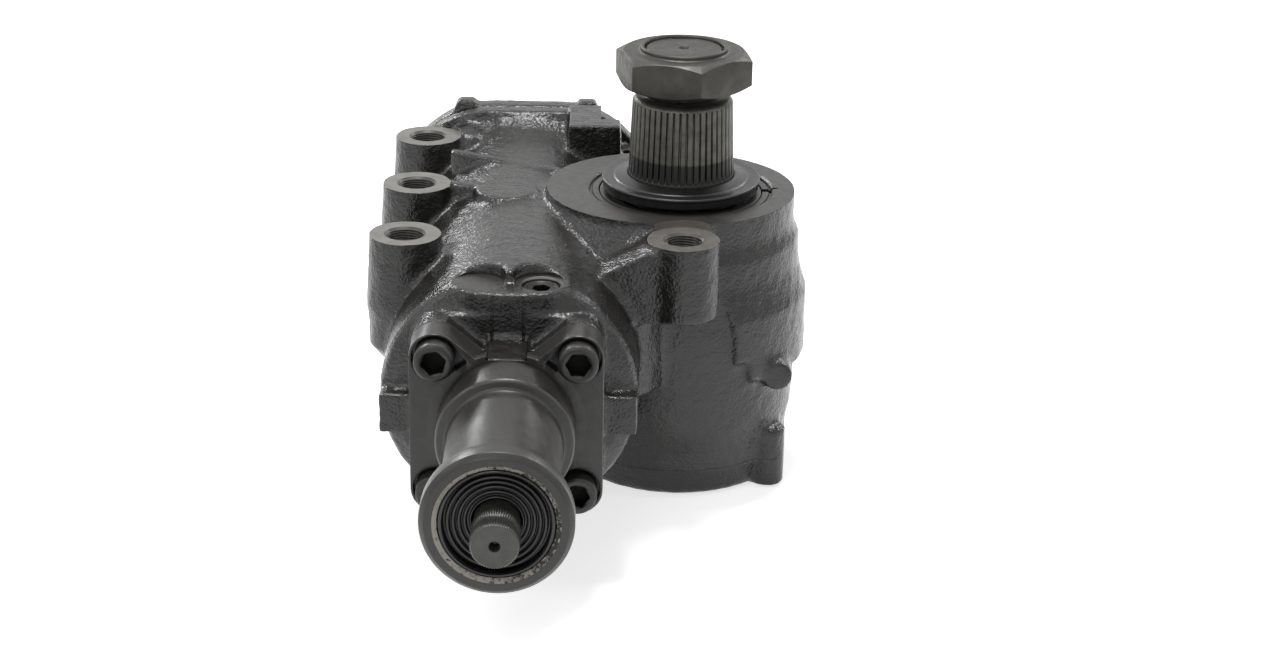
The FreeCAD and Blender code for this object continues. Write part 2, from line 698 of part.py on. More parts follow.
# Side cover under the drum, with the lower bearing boss and the adjuster

def make_side_cover():
    body = new_body("side_cover")
    turn_profile(body, "XZ_Plane", [
        ("0", "-drum_base - side_cover_plate + 1"), ("drum_base_r - 8", "-drum_base - side_cover_plate"),
        ("drum_base_r - 2.5", "-drum_base - side_cover_plate + 3"), ("drum_base_r", "-drum_base"),
        ("gear_chamber_r - fitting_gap", "-drum_base"),
        ("gear_chamber_r - fitting_gap", "-drum_base + 3.5"), ("lower_boss_r", "-drum_base + 3.5"),
        ("lower_boss_r", "-lower_boss_top"), ("0", "-lower_boss_top")])
    discs(body, "XY_Plane", side_bolts, "side_lug_r", "side_cover_plate", ("0", "0", "-drum_base"),
          along=False)
    turn_profile(body, "XZ_Plane", [
        ("0", "-lower_boss_top + 1"), ("lower_bearing_r", "-lower_boss_top + 1"),
        ("lower_bearing_r", "-shaft_base - 1"), ("adjuster_r + fitting_gap", "-shaft_base - 1"),
        ("adjuster_r + fitting_gap", "-drum_base - side_cover_plate + 10"),
        ("22", "-drum_base - side_cover_plate + 10"), ("24", "-drum_base - side_cover_plate - 1"),
        ("0", "-drum_base - side_cover_plate - 1")], kind="Groove")
    turn_profile(body, "XZ_Plane", ring_profile(
        "gear_chamber_r - side_seal_depth", "gear_chamber_r + 1", "-drum_base + 0.6", "-drum_base + 2.6"),
        kind="Groove")
    discs(body, "XY_Plane", side_bolts, "m10_r + fitting_gap", "side_cover_plate + 2",
          ("0", "0", "-drum_base + 1"), kind="Pocket", along=False)
    discs(body, "XY_Plane", side_bolts, "m10_head_r + 0.5", "11",
          ("0", "0", "-drum_base - side_cover_plate"), kind="Pocket")


def make_adjuster():
    body = new_body("adjusting_screw")
    turn_profile(body, "XZ_Plane", [
        ("0", "-drum_base - side_cover_plate + 0.5"),
        ("adjuster_r - 1", "-drum_base - side_cover_plate + 0.5"),
        ("adjuster_r", "-drum_base - side_cover_plate + 1.5"), ("adjuster_r", "-shaft_base + 2"),
        ("adjuster_r + 4", "-shaft_base + 2"), ("adjuster_r + 4", "-shaft_base + 6"),
        ("0", "-shaft_base + 6")])
    hexagon_cut(body, "XY_Plane", "6", "6", ("0", "0", "-drum_base - side_cover_plate + 0.5"), True)
    turned_piece("adjuster_retainer", ring_profile(
        "adjuster_r + fitting_gap", "adjuster_r + 4 + safe_gap", "-shaft_base", "-shaft_base + 1.8"),
        "XZ_Plane")
    nut = new_body("adjuster_lock_nut")
    block(nut, "XY_Plane", hexagon("24", 0), "9", ("0", "0", "-drum_base - side_cover_plate + 1"))
    discs(nut, "XY_Plane", [("0", "0")], "adjuster_r + fitting_gap", "11",
          ("0", "0", "-drum_base - side_cover_plate"), kind="Pocket")


# Sector shaft with its toothed segment

def sector_outline():
    # Involute teeth on the side of the piston, closed through the shaft axis.
    module = amount("rack_module")
    pitch_r = amount("sector_pitch_r")
    slope = math.radians(amount("pressure_angle"))
    tip_r = pitch_r + amount(tooth_height)
    root_r = pitch_r - amount(tooth_depth)
    base_r = pitch_r * math.cos(slope)
    pitch_half = (math.pi * module / 4 - amount("flank_backlash")) / pitch_r
    steps = 5
    flank = [(root_r, base_r)]
    for step in range(steps + 1):
        radius = base_r + (tip_r - base_r) * step / steps
        flank.append((radius, radius))
    points = []
    for tooth in range(-side_teeth, side_teeth + 1):
        middle = math.pi + tooth * math.pi * module / pitch_r
        sides = []
        for radius, contact in flank:
            roll = math.acos(base_r / contact)
            half = pitch_half + math.tan(slope) - slope - (math.tan(roll) - roll)
            sides.append((radius, half))
        for radius, half in sides:
            points.append((radius, middle - half))
        for radius, half in reversed(sides):
            points.append((radius, middle + half))
    return [FreeCAD.Vector(r * math.cos(a), r * math.sin(a), 0) for r, a in points]


def make_sector_shaft():
    body = doc.addObject("PartDesign::Body", "sector_spindle")
    turn_profile(body, "XZ_Plane", [
        ("0", "-shaft_base"), ("lower_journal_r - 1", "-shaft_base"),
        ("lower_journal_r", "-shaft_base + 1"),
        ("lower_journal_r", "-axis_drop - gear_width / 2 - 2"), ("hub_r", "-axis_drop - gear_width / 2"),
        ("hub_r", "-axis_drop + gear_width / 2"), ("journal_r", "-axis_drop + gear_width / 2 + 1"),
        ("journal_r", "0"), ("cap_seat_r", "2"), ("cap_seat_r", "spline_start - 1"),
        ("spline_root_r", "spline_start"), ("spline_tip_r", "spline_end"),
        ("thread_r - 1.2", "spline_end"), ("thread_r - 1.2", "spline_end + 2.5"),
        ("thread_r", "spline_end + 3.5"), ("thread_r", "shaft_end - 1"), ("thread_r - 1", "shaft_end"),
        ("2.5", "shaft_end"), ("0", "shaft_end - 4")])
    turn_profile(body, "XZ_Plane", ring_profile(
        "0", "adjuster_r + 4 + safe_gap", "-shaft_base - 1", "-shaft_base + 6 + safe_gap"), kind="Groove")
    cutter = new_sketch(body, "XY_Plane", ("0", "0", "spline_start - 2"))
    draw_outline(cutter, [
        ("spline_tip_r - spline_depth", "0"), ("spline_root_r + 3", "-spline_depth * 1.4"),
        ("spline_root_r + 3", "spline_depth * 1.4")])
    groove = extrude(body, cutter, "spline_end - spline_start + 4", kind="Pocket")
    pattern = body.newObject("PartDesign::PolarPattern", "spline_pattern")
    pattern.Originals = [groove]
    pattern.Axis = (cutter, ["N_Axis"])
    pattern.Angle = 360
    pattern.Occurrences = int(amount("spline_count"))
    body.Tip = pattern
    doc.recompute()
    teeth = doc.addObject("Part::Feature", "sector_teeth")
    outline = sector_outline()
    wire = Part.makePolygon([FreeCAD.Vector()] + outline + [FreeCAD.Vector()])
    width = amount("gear_width")
    teeth.Shape = Part.Face(wire).extrude(FreeCAD.Vector(0, 0, width))
    teeth.Placement.Base = FreeCAD.Vector(0, 0, -amount("axis_drop") - width / 2)
    shaft = doc.addObject("Part::Fuse", "sector_shaft")
    shaft.Base, shaft.Tool = body, teeth
    nodes["sector_shaft"] = shaft


def hexagon(flats, turned):
    return [(f"({flats}) / sqrt(3) * cos({turned + 60 * step} deg)",
             f"({flats}) / sqrt(3) * sin({turned + 60 * step} deg)") for step in range(6)]


def hexagon_cut(body, plane, flats, depth, at, along, turned=0):
    block(body, plane, hexagon(flats, turned), depth, at, kind="Pocket", along=along)


def make_pitman_nut():
    body = new_body("pitman_nut")
    block(body, "XY_Plane", hexagon("nut_flats", nut_turn), "nut_height", ("0", "0", "nut_base"))
    corner = "nut_flats / sqrt(3)"
    for face, way in (("nut_base", "1"), ("nut_base + nut_height", "-1")):
        turn_profile(body, "XZ_Plane", [
            ("nut_flats / 2 - 0.5", f"{face} - {way}"), (f"{corner} + 2", f"{face} - {way}"),
            (f"{corner} + 2", f"{face} + {way} * 4"), ("nut_flats / 2 - 0.5", face)][::int(way)],
            kind="Groove")
    turn_profile(body, "XZ_Plane", ring_profile(
        "thread_r", "nut_ring_r", "nut_base + nut_height - 1", "nut_base + nut_height + nut_ring_height"))
    turn_profile(body, "XZ_Plane", [
        ("0", "nut_base - 1"), ("thread_r + 2", "nut_base - 1"), ("thread_r", "nut_base + 1"),
        ("thread_r", "nut_base + nut_height + nut_ring_height + 1"),
        ("0", "nut_base + nut_height + nut_ring_height + 1")], kind="Groove")


def make_output_seals():
    turned_piece("shaft_dust_cap", [
        ("cap_seat_r", "cap_base"), ("cap_r - 1.5", "cap_base"), ("cap_r", "cap_base + 1.5"),
        ("cap_r", "cap_top - 1.5"), ("cap_r - 1.5", "cap_top"), ("cap_r - 5", "cap_top"),
        ("cap_seat_r + 4", "cap_top + 1.4"), ("cap_seat_r", "spline_start - 1")], "XZ_Plane")
    turned_piece("seal_carrier", [
        ("42", "drum_top - seal_bore_depth"), ("seal_bore_r - fitting_gap", "drum_top - seal_bore_depth"),
        ("seal_bore_r - fitting_gap", "drum_top - 4.6"), ("seal_bore_r - 5", "drum_top - 4.6"),
        ("seal_bore_r - 6", "drum_top - 1.5"), ("42", "drum_top - 1.5")], "XZ_Plane")
    turned_piece("sector_seal", ring_profile(
        "journal_r + running_gap", "42", "drum_top - seal_bore_depth", "0"), "XZ_Plane")
    ring = new_body("retaining_ring")
    turn_profile(ring, "XZ_Plane", ring_profile(
        "seal_bore_r - 4.5", "seal_bore_r + 1.6", "drum_top - 4.5", "drum_top - 2.2"))
    block(ring, "XY_Plane", [("38", "-5"), ("70", "-5"), ("70", "5"), ("38", "5")], "10",
          ("0", "0", "0"), kind="Pocket", along=False)
    turned_piece("sector_bearing_upper", bearing_profile(
        "journal_r + running_gap", "upper_bore_r - running_gap", "-gear_chamber_top + 2",
        "drum_top - seal_bore_depth - 0.5"), "XZ_Plane")
    turned_piece("sector_bearing_lower", bearing_profile(
        "lower_journal_r + running_gap", "lower_bearing_r - running_gap", "-shaft_base",
        "-lower_boss_top - 1"), "XZ_Plane")


def bearing_profile(inner, outer, start, end):
    return [(f"{inner}", start), (f"{outer} - 1", start), (f"{outer}", f"{start} + 1"),
            (f"{outer}", f"{end} - 1"), (f"{outer} - 1", end), (f"{inner}", end)]


# Rack piston, its ring, plug and balls

def make_piston():
    body = new_body("rack_piston", main_axis)
    outer = "piston_bore_r - running_gap"
    turn_profile(body, "XY_Plane", [
        ("nut_bore_r", f"-{piston_front}"), (f"{outer} - 2", f"-{piston_front}"), (outer, f"-{piston_front} + 2"),
        (outer, f"{piston_rear} - 2"), (f"{outer} - 2", piston_rear), ("piston_plug_r", piston_rear),
        ("piston_plug_r", f"{piston_rear} - piston_plug_length"),
        ("nut_bore_r", f"{piston_rear} - piston_plug_length")])
    tip_line = f"axis_offset - sector_pitch_r + {tooth_height}"
    root_line = f"axis_offset - sector_pitch_r - {tooth_depth}"
    pitch = "pi * rack_module"
    reach = f"{side_teeth} * {pitch} + {pitch} / 2"
    block(body, "XY_Plane", [
        (tip_line, f"-({reach})"), ("piston_bore_r + 1", f"-({reach})"), ("piston_bore_r + 1", reach),
        (tip_line, reach)], "piston_bore_r * 2", ("0", "0", "-piston_bore_r"), kind="Pocket")
    first = f"-{side_teeth} * {pitch}"
    slope = "tan(pressure_angle * 1 deg)"
    sketch = new_sketch(body, "XY_Plane", ("0", "0", "-piston_bore_r"))
    root_half = f"({pitch} / 4 - {tooth_depth} * {slope})"
    tip_half = f"({pitch} / 4 + ({tooth_height} + 1) * {slope})"
    draw_outline(sketch, [
        (root_line, f"{first} - {root_half}"), (f"{tip_line} + 1", f"{first} - {tip_half}"),
        (f"{tip_line} + 1", f"{first} + {tip_half}"), (root_line, f"{first} + {root_half}")])
    gap = extrude(body, sketch, "piston_bore_r * 2", kind="Pocket")
    pattern = body.newObject("PartDesign::LinearPattern", "rack_pattern")
    pattern.Originals = [gap]
    pattern.Direction = (sketch, ["V_Axis"])
    bind(pattern, "Length", f"{2 * side_teeth} * {pitch}")
    pattern.Occurrences = 2 * side_teeth + 1
    body.Tip = pattern
    doc.recompute()
    turn_profile(body, "XY_Plane", ring_profile(
        f"{outer} - ring_groove_depth", f"{outer} + 1", f"{piston_rear} - ring_land - ring_groove_width",
        f"{piston_rear} - ring_land"), kind="Groove")
    turned_piece("piston_ring", ring_profile(
        f"{outer} - ring_groove_depth", outer, f"{piston_rear} - ring_land - ring_groove_width + 0.1",
        f"{piston_rear} - ring_land - 0.1"))
    plug = turned_piece("piston_end_plug", [
        ("0", f"{piston_rear} - piston_plug_length"),
        ("piston_plug_r - 1", f"{piston_rear} - piston_plug_length"),
        ("piston_plug_r - 0.05", f"{piston_rear} - piston_plug_length + 1"),
        ("piston_plug_r - 0.05", f"{piston_rear} - 0.5"), ("0", f"{piston_rear} - 0.5")])
    hexagon_cut(plug, "XZ_Plane", "14", "6", ("0", "0", f"-{piston_rear} + 0.5"), True)
    balls = []
    count = int(amount("ball_count"))
    for index in range(count):
        ball = doc.addObject("Part::Sphere", f"ball_{index + 1}")
        bind(ball, "Radius", "ball_r")
        angle = f"({index} * 360 / ball_count + 90)"
        bind(ball, "Placement.Base.x", f"-axis_offset + ball_path_r * cos({angle} * 1 deg)")
        bind(ball, "Placement.Base.z", f"-axis_drop - ball_path_r * sin({angle} * 1 deg)")
        bind(ball, "Placement.Base.y", f"-{first_ball} + worm_lead * {angle} / 360")
        balls.append(ball)
    group("recirculating_balls", balls)


# Input shaft, torsion bar and worm

def make_input_line():
    shaft = turned_piece("input_shaft", [
        ("2.5", "-input_tip"), ("input_r - 1.5", "-input_tip"), ("input_r", "-input_tip + 1.5"),
        ("input_r", "-input_tip + 21"), ("input_r - 0.8", "-input_tip + 22"),
        ("input_r - 0.8", "-input_tip + 34"), ("input_journal_r", "-input_tip + 35.5"),
        ("input_journal_r", "-front_joint - 78"), ("input_journal_r - 1", "-front_joint - 77"),
        ("input_journal_r - 1", "-front_joint - 10"), ("rotor_r - running_gap", "-front_joint - 9"),
        ("rotor_r - running_gap", "-rotor_end"), ("torsion_bar_r + 0.5", "-rotor_end"),
        ("torsion_bar_r + 0.5", "-input_tip + 18"), ("0", "-input_tip + 18"), ("0", "-input_tip + 6"),
        ("2.5", "-input_tip + 5")])
    bar = turned_piece("torsion_bar", [
        ("0", "-input_tip + 19"), ("torsion_bar_r + 0.4", "-input_tip + 19"),
        ("torsion_bar_r + 0.4", "-input_tip + front_pin + 6"),
        ("torsion_bar_r - 1", "-input_tip + front_pin + 12"),
        ("torsion_bar_r - 1", "bar_end - bar_seat - 6"), ("torsion_bar_r + 0.4", "bar_end - bar_seat"),
        ("torsion_bar_r + 0.4", "bar_end"), ("0", "bar_end")])
    worm = turned_piece("worm_shaft", [
        ("rotor_r", "-front_joint - 7"), ("stem_hole_r - running_gap", "-front_joint - 7"),
        ("stem_hole_r - running_gap", "-front_joint + 8"),
        ("valve_bore_r - running_gap", "-front_joint + 8"),
        ("valve_bore_r - running_gap", "-valve_floor - 7"),
        ("stem_hole_r - running_gap", "-valve_floor - 7"),
        ("stem_hole_r - running_gap", "-chamber_front + 1"), ("worm_r", "-chamber_front + 3"),
        ("worm_r", "worm_tip - 2"), ("worm_r - 2", "worm_tip"), ("0", "worm_tip"), ("0", "bar_end + 2"),
        ("torsion_bar_r + 0.5", "bar_end + 2"), ("torsion_bar_r + 0.5", "-rotor_end + 1"),
        ("rotor_r", "-rotor_end + 1")])
    for middle in valve_ring_places:
        turn_profile(worm, "XY_Plane", ring_profile(
            "valve_bore_r - 3", "valve_bore_r + 1", f"{middle} - 1.5", f"{middle} + 1.5"), kind="Groove")
    sketch = new_sketch(worm, "XY_Plane")
    start = f"-{first_ball} - worm_lead * {groove_turns_before}"
    draw_circle(sketch, "ball_path_r", start, "ball_r + groove_clearance")
    helix = worm.newObject("PartDesign::SubtractiveHelix", "worm_groove")
    helix.Profile = sketch
    helix.ReferenceAxis = (sketch, ["V_Axis"])
    helix.Mode = 0
    bind(helix, "Pitch", "worm_lead")
    bind(helix, "Height", f"worm_lead * {groove_turns}")
    helix.LeftHanded = False
    helix.Reversed = False
    rings = []
    for index, middle in enumerate(valve_ring_places, start=1):
        ring = doc.addObject("PartDesign::Body", f"valve_ring_{index}")
        for axis, text in zip("xyz", main_axis):
            bind(ring, f"Placement.Base.{axis}", text)
        turn_profile(ring, "XY_Plane", ring_profile(
            "valve_bore_r - 3", "valve_bore_r - running_gap", f"{middle} - 1.4", f"{middle} + 1.4"))
        rings.append(ring)
    group("valve_seal_rings", rings)
    front, rear = "-input_tip + front_pin", "bar_end - bar_seat / 2"
    for piece, middle in ((shaft, front), (bar, front), (bar, rear), (worm, rear)):
        discs(piece, "YZ_Plane", [(middle, "0")], "pin_r", "40", ("0", "0", "-20"), kind="Pocket")
    pins = []
    for index, (middle, seat) in enumerate(((front, "input_journal_r"), (rear, "worm_r")), start=1):
        pin = doc.addObject("Part::Cylinder", f"torsion_pin_{index}")
        bind(pin, "Radius", "pin_r")
        bind(pin, "Height", f"({seat} - fitting_gap) * 2")
        pin.Placement.Rotation = FreeCAD.Rotation(FreeCAD.Vector(0, 0, 1), FreeCAD.Vector(1, 0, 0))
        for axis, text in zip("xyz", (f"-axis_offset - {seat} + fitting_gap", middle, "-axis_drop")):
            bind(pin, f"Placement.Base.{axis}", text)
        pins.append(pin)
    group("torsion_bar_pins", pins)


def make_input_bearings():
    turned_piece("worm_bearing_front", bearing_profile(
        "stem_hole_r", "29.9", "-front_joint - 7.9", "-front_joint + 7.6"))
    turned_piece("worm_bearing_rear", bearing_profile(
        "stem_hole_r", "valve_bore_r - fitting_gap", "-valve_floor - 6.6", "-valve_floor"))
    turned_piece("input_bearing", bearing_profile(
        "input_journal_r + running_gap", "20.95", "-front_joint - 100", "-front_joint - 88"))
    turned_piece("input_oil_seal", ring_profile(
        "input_journal_r + running_gap", "20.95", "-front_joint - 114", "-front_joint - 105"))
    mouth = "-front_joint - cover_length"
    ridges = []
    for step in range(4):
        radius = f"(mouth_r - 3.5 - {step} * 3.2)"
        ridges += [(f"{radius}", f"{mouth} + 6.5"), (f"{radius} - 0.6", f"{mouth} + {4.8 - 0.5 * step}"),
                   (f"{radius} - 1.8", f"{mouth} + {4.8 - 0.5 * step}"), (f"{radius} - 2.4", f"{mouth} + 6.5")]
    turned_piece("input_dust_seal", [
        ("mouth_r - running_gap", f"{mouth} + mouth_depth - 1.5"),
        ("mouth_r - running_gap", f"{mouth} + 5.5"), ("mouth_r - 2.4", f"{mouth} + 5.5"),
        *ridges, ("input_r - 0.75", f"{mouth} + 6.5"), ("input_r - 0.75", f"{mouth} + 10"),
        ("mouth_r - 6", f"{mouth} + mouth_depth - 1.5")][::-1])


# Port plug, seal rings and screws

def make_small_pieces():
    plug = new_body("port_plug", ("-axis_offset + port_spacing / 2", "-port_line", "0"))
    turn_profile(plug, "XZ_Plane", [
        ("0", "-port_face_drop - port_hole_depth + 2"),
        ("port_hole_r - 1", "-port_face_drop - port_hole_depth + 2"),
        ("port_hole_r - 0.1", "-port_face_drop - port_hole_depth + 3"),
        ("port_hole_r - 0.1", "-port_face_drop - 2.2"), ("port_hole_r - 1", "-port_face_drop - 1.4"),
        ("0", "-port_face_drop - 1.4")])
    hexagon_cut(plug, "XY_Plane", "9", "7", ("0", "0", "-port_face_drop - 1.4"), False)
    turned_piece("front_cover_seal", ring_profile(
        "front_seal_r", "valve_bore_r - fitting_gap", "-front_joint + 3.05", "-front_joint + 4.95"))
    turned_piece("rear_cover_seal", ring_profile(
        "rear_seal_r", "rear_seal_r + 3", "rear_joint - 2", "rear_joint"))
    turned_piece("side_cover_seal", ring_profile(
        "gear_chamber_r - side_seal_depth", "gear_chamber_r - fitting_gap", "-drum_base + 0.6",
        "-drum_base + 2.6"), "XZ_Plane")


def make_screws():
    seat = "-(front_joint + cover_floor)"
    group("front_cover_screws", [socket_screw(
        f"front_screw_{index}", (f"-axis_offset + {x}", seat, f"-axis_drop + {z}"), (0, 1, 0),
        "m14_r", "m14_head_r", "m14_socket", "cover_floor + screw_grip - 2")
        for index, (x, z) in enumerate(front_bolts, start=1)])
    seat = "rear_joint + rear_cover_plate"
    group("rear_cover_screws", [socket_screw(
        f"rear_screw_{index}", (f"-axis_offset + {x}", seat, f"-axis_drop + {z}"), (0, -1, 0),
        "m12_r", "m12_head_r", "m12_socket", "rear_cover_plate + screw_grip - 3")
        for index, (x, z) in enumerate(rear_bolts, start=1)])
    seat = "-drum_base - side_cover_plate + 11"
    group("side_cover_screws", [socket_screw(
        f"side_screw_{index}", (x, y, seat), (0, 0, 1),
        "m10_r", "m10_head_r", "m10_socket", "side_cover_plate - 11 + 12")
        for index, (x, y) in enumerate(side_bolts, start=1)])


make_housing()
make_front_cover()
make_rear_cover()
make_side_cover()
make_adjuster()
make_sector_shaft()
make_pitman_nut()
make_output_seals()
make_piston()
make_input_line()
make_input_bearings()
make_small_pieces()
make_screws()

doc.recompute()

# Checks and export

faults = []
for thing in doc.Objects:
    if "Invalid" in thing.State or "Error" in thing.State:
        faults.append(f"{thing.Label}: {thing.State}")
    if thing.TypeId in ("PartDesign::Pocket", "PartDesign::Groove") and not thing.Shape.isNull():
        if thing.Shape.Volume > thing.BaseFeature.Shape.Volume - 0.01:
            faults.append(f"{thing.Label} removes nothing")
for label, thing in nodes.items():
    if thing.Shape.isNull() or not thing.Shape.isValid():
        faults.append(f"{label}: no valid shape")
if faults:
    raise RuntimeError("; ".join(faults))

os.makedirs("parts", exist_ok=True)
for label, thing in nodes.items():
    thing.Shape.exportStep(f"parts/{label}.step")
    print(label, round(thing.Shape.Volume), len(thing.Shape.Solids))
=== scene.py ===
import bpy
import bmesh
import json
import math
import numpy as np
from mathutils import Euler, Matrix, Vector


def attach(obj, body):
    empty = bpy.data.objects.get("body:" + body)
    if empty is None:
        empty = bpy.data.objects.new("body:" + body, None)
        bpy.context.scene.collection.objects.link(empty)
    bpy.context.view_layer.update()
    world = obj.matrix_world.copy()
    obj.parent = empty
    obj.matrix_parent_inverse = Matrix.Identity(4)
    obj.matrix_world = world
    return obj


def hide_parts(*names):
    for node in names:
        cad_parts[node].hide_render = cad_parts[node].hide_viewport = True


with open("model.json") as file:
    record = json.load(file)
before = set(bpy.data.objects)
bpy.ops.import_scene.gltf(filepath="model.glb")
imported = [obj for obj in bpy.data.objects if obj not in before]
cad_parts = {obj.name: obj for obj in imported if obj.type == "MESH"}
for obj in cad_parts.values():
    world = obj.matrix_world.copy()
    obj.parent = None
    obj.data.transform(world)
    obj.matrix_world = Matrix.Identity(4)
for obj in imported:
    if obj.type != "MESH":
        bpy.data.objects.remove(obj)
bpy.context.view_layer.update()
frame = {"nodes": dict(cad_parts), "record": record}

# Power steering gear: a rough cast housing with turned and bolted pieces, seen as on a white table.
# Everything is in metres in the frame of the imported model; mm turns millimetres into metres.

mm = 0.001
nodes = frame["nodes"]

layout = {
    "mainX": -94, "mainZ": -70,      # axis of the input shaft and the piston, in millimetres
    "frontJoint": -158, "rearJoint": 139, "drumBase": -147, "drumTop": 4,
    "holes": [(-154, -76), (-154, 13), (-154, 105), (0, -79.5), (0, 105)],
}


# Materials

def newMaterial(name):
    material = bpy.data.materials.new(name)
    material.use_nodes = True
    tree = material.node_tree
    shader = tree.nodes["Principled BSDF"]
    return material, tree, shader


def addNode(tree, kind, **values):
    node = tree.nodes.new(kind)
    for key, value in values.items():
        if key in node.inputs:
            node.inputs[key].default_value = value
        else:
            setattr(node, key, value)
    return node


def feed(tree, socket, value):
    # value: a number or another node's output
    if isinstance(value, (int, float)):
        socket.default_value = value
    else:
        tree.links.new(value, socket)


def mathOf(tree, operation, *values):
    node = addNode(tree, "ShaderNodeMath", operation=operation)
    for socket, value in zip(node.inputs, values):
        feed(tree, socket, value)
    return node.outputs[0]


def noiseOf(tree, scale, detail=2.0, rough=0.5, stretch=None):
    node = addNode(tree, "ShaderNodeTexNoise", Scale=scale, Detail=detail, Roughness=rough)
    coords = addNode(tree, "ShaderNodeTexCoord").outputs["Object"]
    if stretch is not None:
        mapping = addNode(tree, "ShaderNodeMapping", Scale=stretch)
        tree.links.new(coords, mapping.inputs["Vector"])
        coords = mapping.outputs["Vector"]
    tree.links.new(coords, node.inputs["Vector"])
    return node.outputs["Fac"]


def rampOf(tree, source, stops):
    node = tree.nodes.new("ShaderNodeValToRGB")
    ramp = node.color_ramp
    while len(ramp.elements) < len(stops):
        ramp.elements.new(0.5)
    for element, (at, colour) in zip(ramp.elements, stops):
        element.position = at
        element.color = (*colour, 1) if isinstance(colour, tuple) else (colour, colour, colour, 1)
    tree.links.new(source, node.inputs["Fac"])
    return node.outputs["Color"]


def edgeRound(tree, radius):
    # rounds the shading of sharp edges, in millimetres
    return addNode(tree, "ShaderNodeBevel", samples=4, Radius=radius * mm).outputs["Normal"]


def bumpOf(tree, height, strength, distance, before=None):
    node = addNode(tree, "ShaderNodeBump", Strength=strength, Distance=distance)
    tree.links.new(height, node.inputs["Height"])
    if before is not None:
        tree.links.new(before, node.inputs["Normal"])
    return node.outputs["Normal"]


def shade(tree, shader, colour, rough, normal, metallic=0.0):
    for label, value in (("Base Color", colour), ("Roughness", rough), ("Normal", normal), ("Metallic", metallic)):
        feed(tree, shader.inputs[label], value)


paints = {    # each bump: scale, strength, depth in mm; edge: rounding of the shading in mm
    "castPaint": {"dark": (0.008, 0.0074, 0.0067), "light": (0.016, 0.0149, 0.0136), "patches": (45, 4),
                  "rough": (0.19, 0.28), "sheen": 140, "bumps": [(230, 0.4, 0.9), (620, 0.9, 0.6)], "edge": 0.8},
    "smoothPaint": {"dark": (0.017, 0.0158, 0.0146), "light": (0.026, 0.0242, 0.0224), "patches": (60, 3),
                    "rough": (0.32, 0.42), "sheen": 200, "bumps": [(420, 0.35, 0.3), (1300, 0.25, 0.1)]},
}


def paintMaterial(name):
    # castPaint: a crinkled skin on sand-cast iron; smoothPaint: turned faces and the finer front cover
    s = paints[name]
    material, tree, shader = newMaterial(name)
    colour = rampOf(tree, noiseOf(tree, *s["patches"]), [(0.3, s["dark"]), (0.7, s["light"])])
    rough = rampOf(tree, noiseOf(tree, s["sheen"], 3), [(0.3, s["rough"][0]), (0.7, s["rough"][1])])
    normal = edgeRound(tree, s["edge"]) if "edge" in s else None
    for scale, strength, depth in s["bumps"]:
        normal = bumpOf(tree, noiseOf(tree, scale, 2), strength, depth * mm, normal)
    shade(tree, shader, colour, rough, normal)
    return material


def metalMaterial(name, colour, roughness, metallic, grain=1500, strength=0.12, stretch=None):
    material, tree, shader = newMaterial(name)
    dark = tuple(c * 0.72 for c in colour)
    mixed = rampOf(tree, noiseOf(tree, 110, 4, 0.6), [(0.32, dark), (0.68, colour)])
    rough = rampOf(tree, noiseOf(tree, 240, 3), [(0.3, roughness * 0.85), (0.7, roughness * 1.15)])
    normal = bumpOf(tree, noiseOf(tree, grain, 2, 0.5, stretch), strength, 0.1 * mm, edgeRound(tree, 0.35))
    shade(tree, shader, mixed, rough, normal, metallic)
    return material


def spanOf(tree, axis, low, high, start=0.0, end=1.0):
    # a value that goes from start to end between two places along an axis, in mm
    split = addNode(tree, "ShaderNodeSeparateXYZ")
    tree.links.new(addNode(tree, "ShaderNodeTexCoord").outputs["Object"], split.inputs[0])
    span = addNode(tree, "ShaderNodeMapRange")
    tree.links.new(split.outputs[axis], span.inputs["Value"])
    for label, value in (("From Min", low * mm), ("From Max", high * mm), ("To Min", start), ("To Max", end)):
        span.inputs[label].default_value = value
    return span.outputs[0]


splineTone = {"from": 25.6, "to": 26.8, "foot": (0.020, 0.021, 0.019, 1)}    # heights where the arm's mark starts


def splineMaterial():
    # phosphated steel, darker at the foot of the splines where no arm has sat
    material, tree, shader = newMaterial("splineSteel")
    worn = rampOf(tree, noiseOf(tree, 160, 4, 0.65), [(0.3, (0.060, 0.059, 0.050)), (0.7, (0.120, 0.118, 0.102))])
    mix = addNode(tree, "ShaderNodeMix", data_type="RGBA")
    tree.links.new(spanOf(tree, "Z", splineTone["from"], splineTone["to"]), mix.inputs["Factor"])
    mix.inputs[6].default_value = splineTone["foot"]
    tree.links.new(worn, mix.inputs[7])
    shade(tree, shader, mix.outputs[2], 0.42, bumpOf(tree, noiseOf(tree, 1400, 2), 0.15, 0.1 * mm), 0.55)
    return material


rimWear = {"reach": 32, "left": 0.16, "right": -0.03}    # half width in mm, and how much more or less is bare


def wornRimMaterial():
    # paint rubbed down to bare iron in ragged patches, most on the side away from the drum
    material, tree, shader = newMaterial("wornRim")
    middle, reach = layout["mainX"], rimWear["reach"]
    side = spanOf(tree, "X", middle - reach, middle + reach, rimWear["left"], rimWear["right"])
    total = mathOf(tree, "ADD", noiseOf(tree, 420, 6, 0.7), side)
    colour = rampOf(tree, total, [(0.47, (0.022, 0.0205, 0.019)), (0.58, (0.42, 0.395, 0.35))])
    shade(tree, shader, colour, 0.5, bumpOf(tree, total, 0.5, 0.4 * mm), 0.15)
    return material


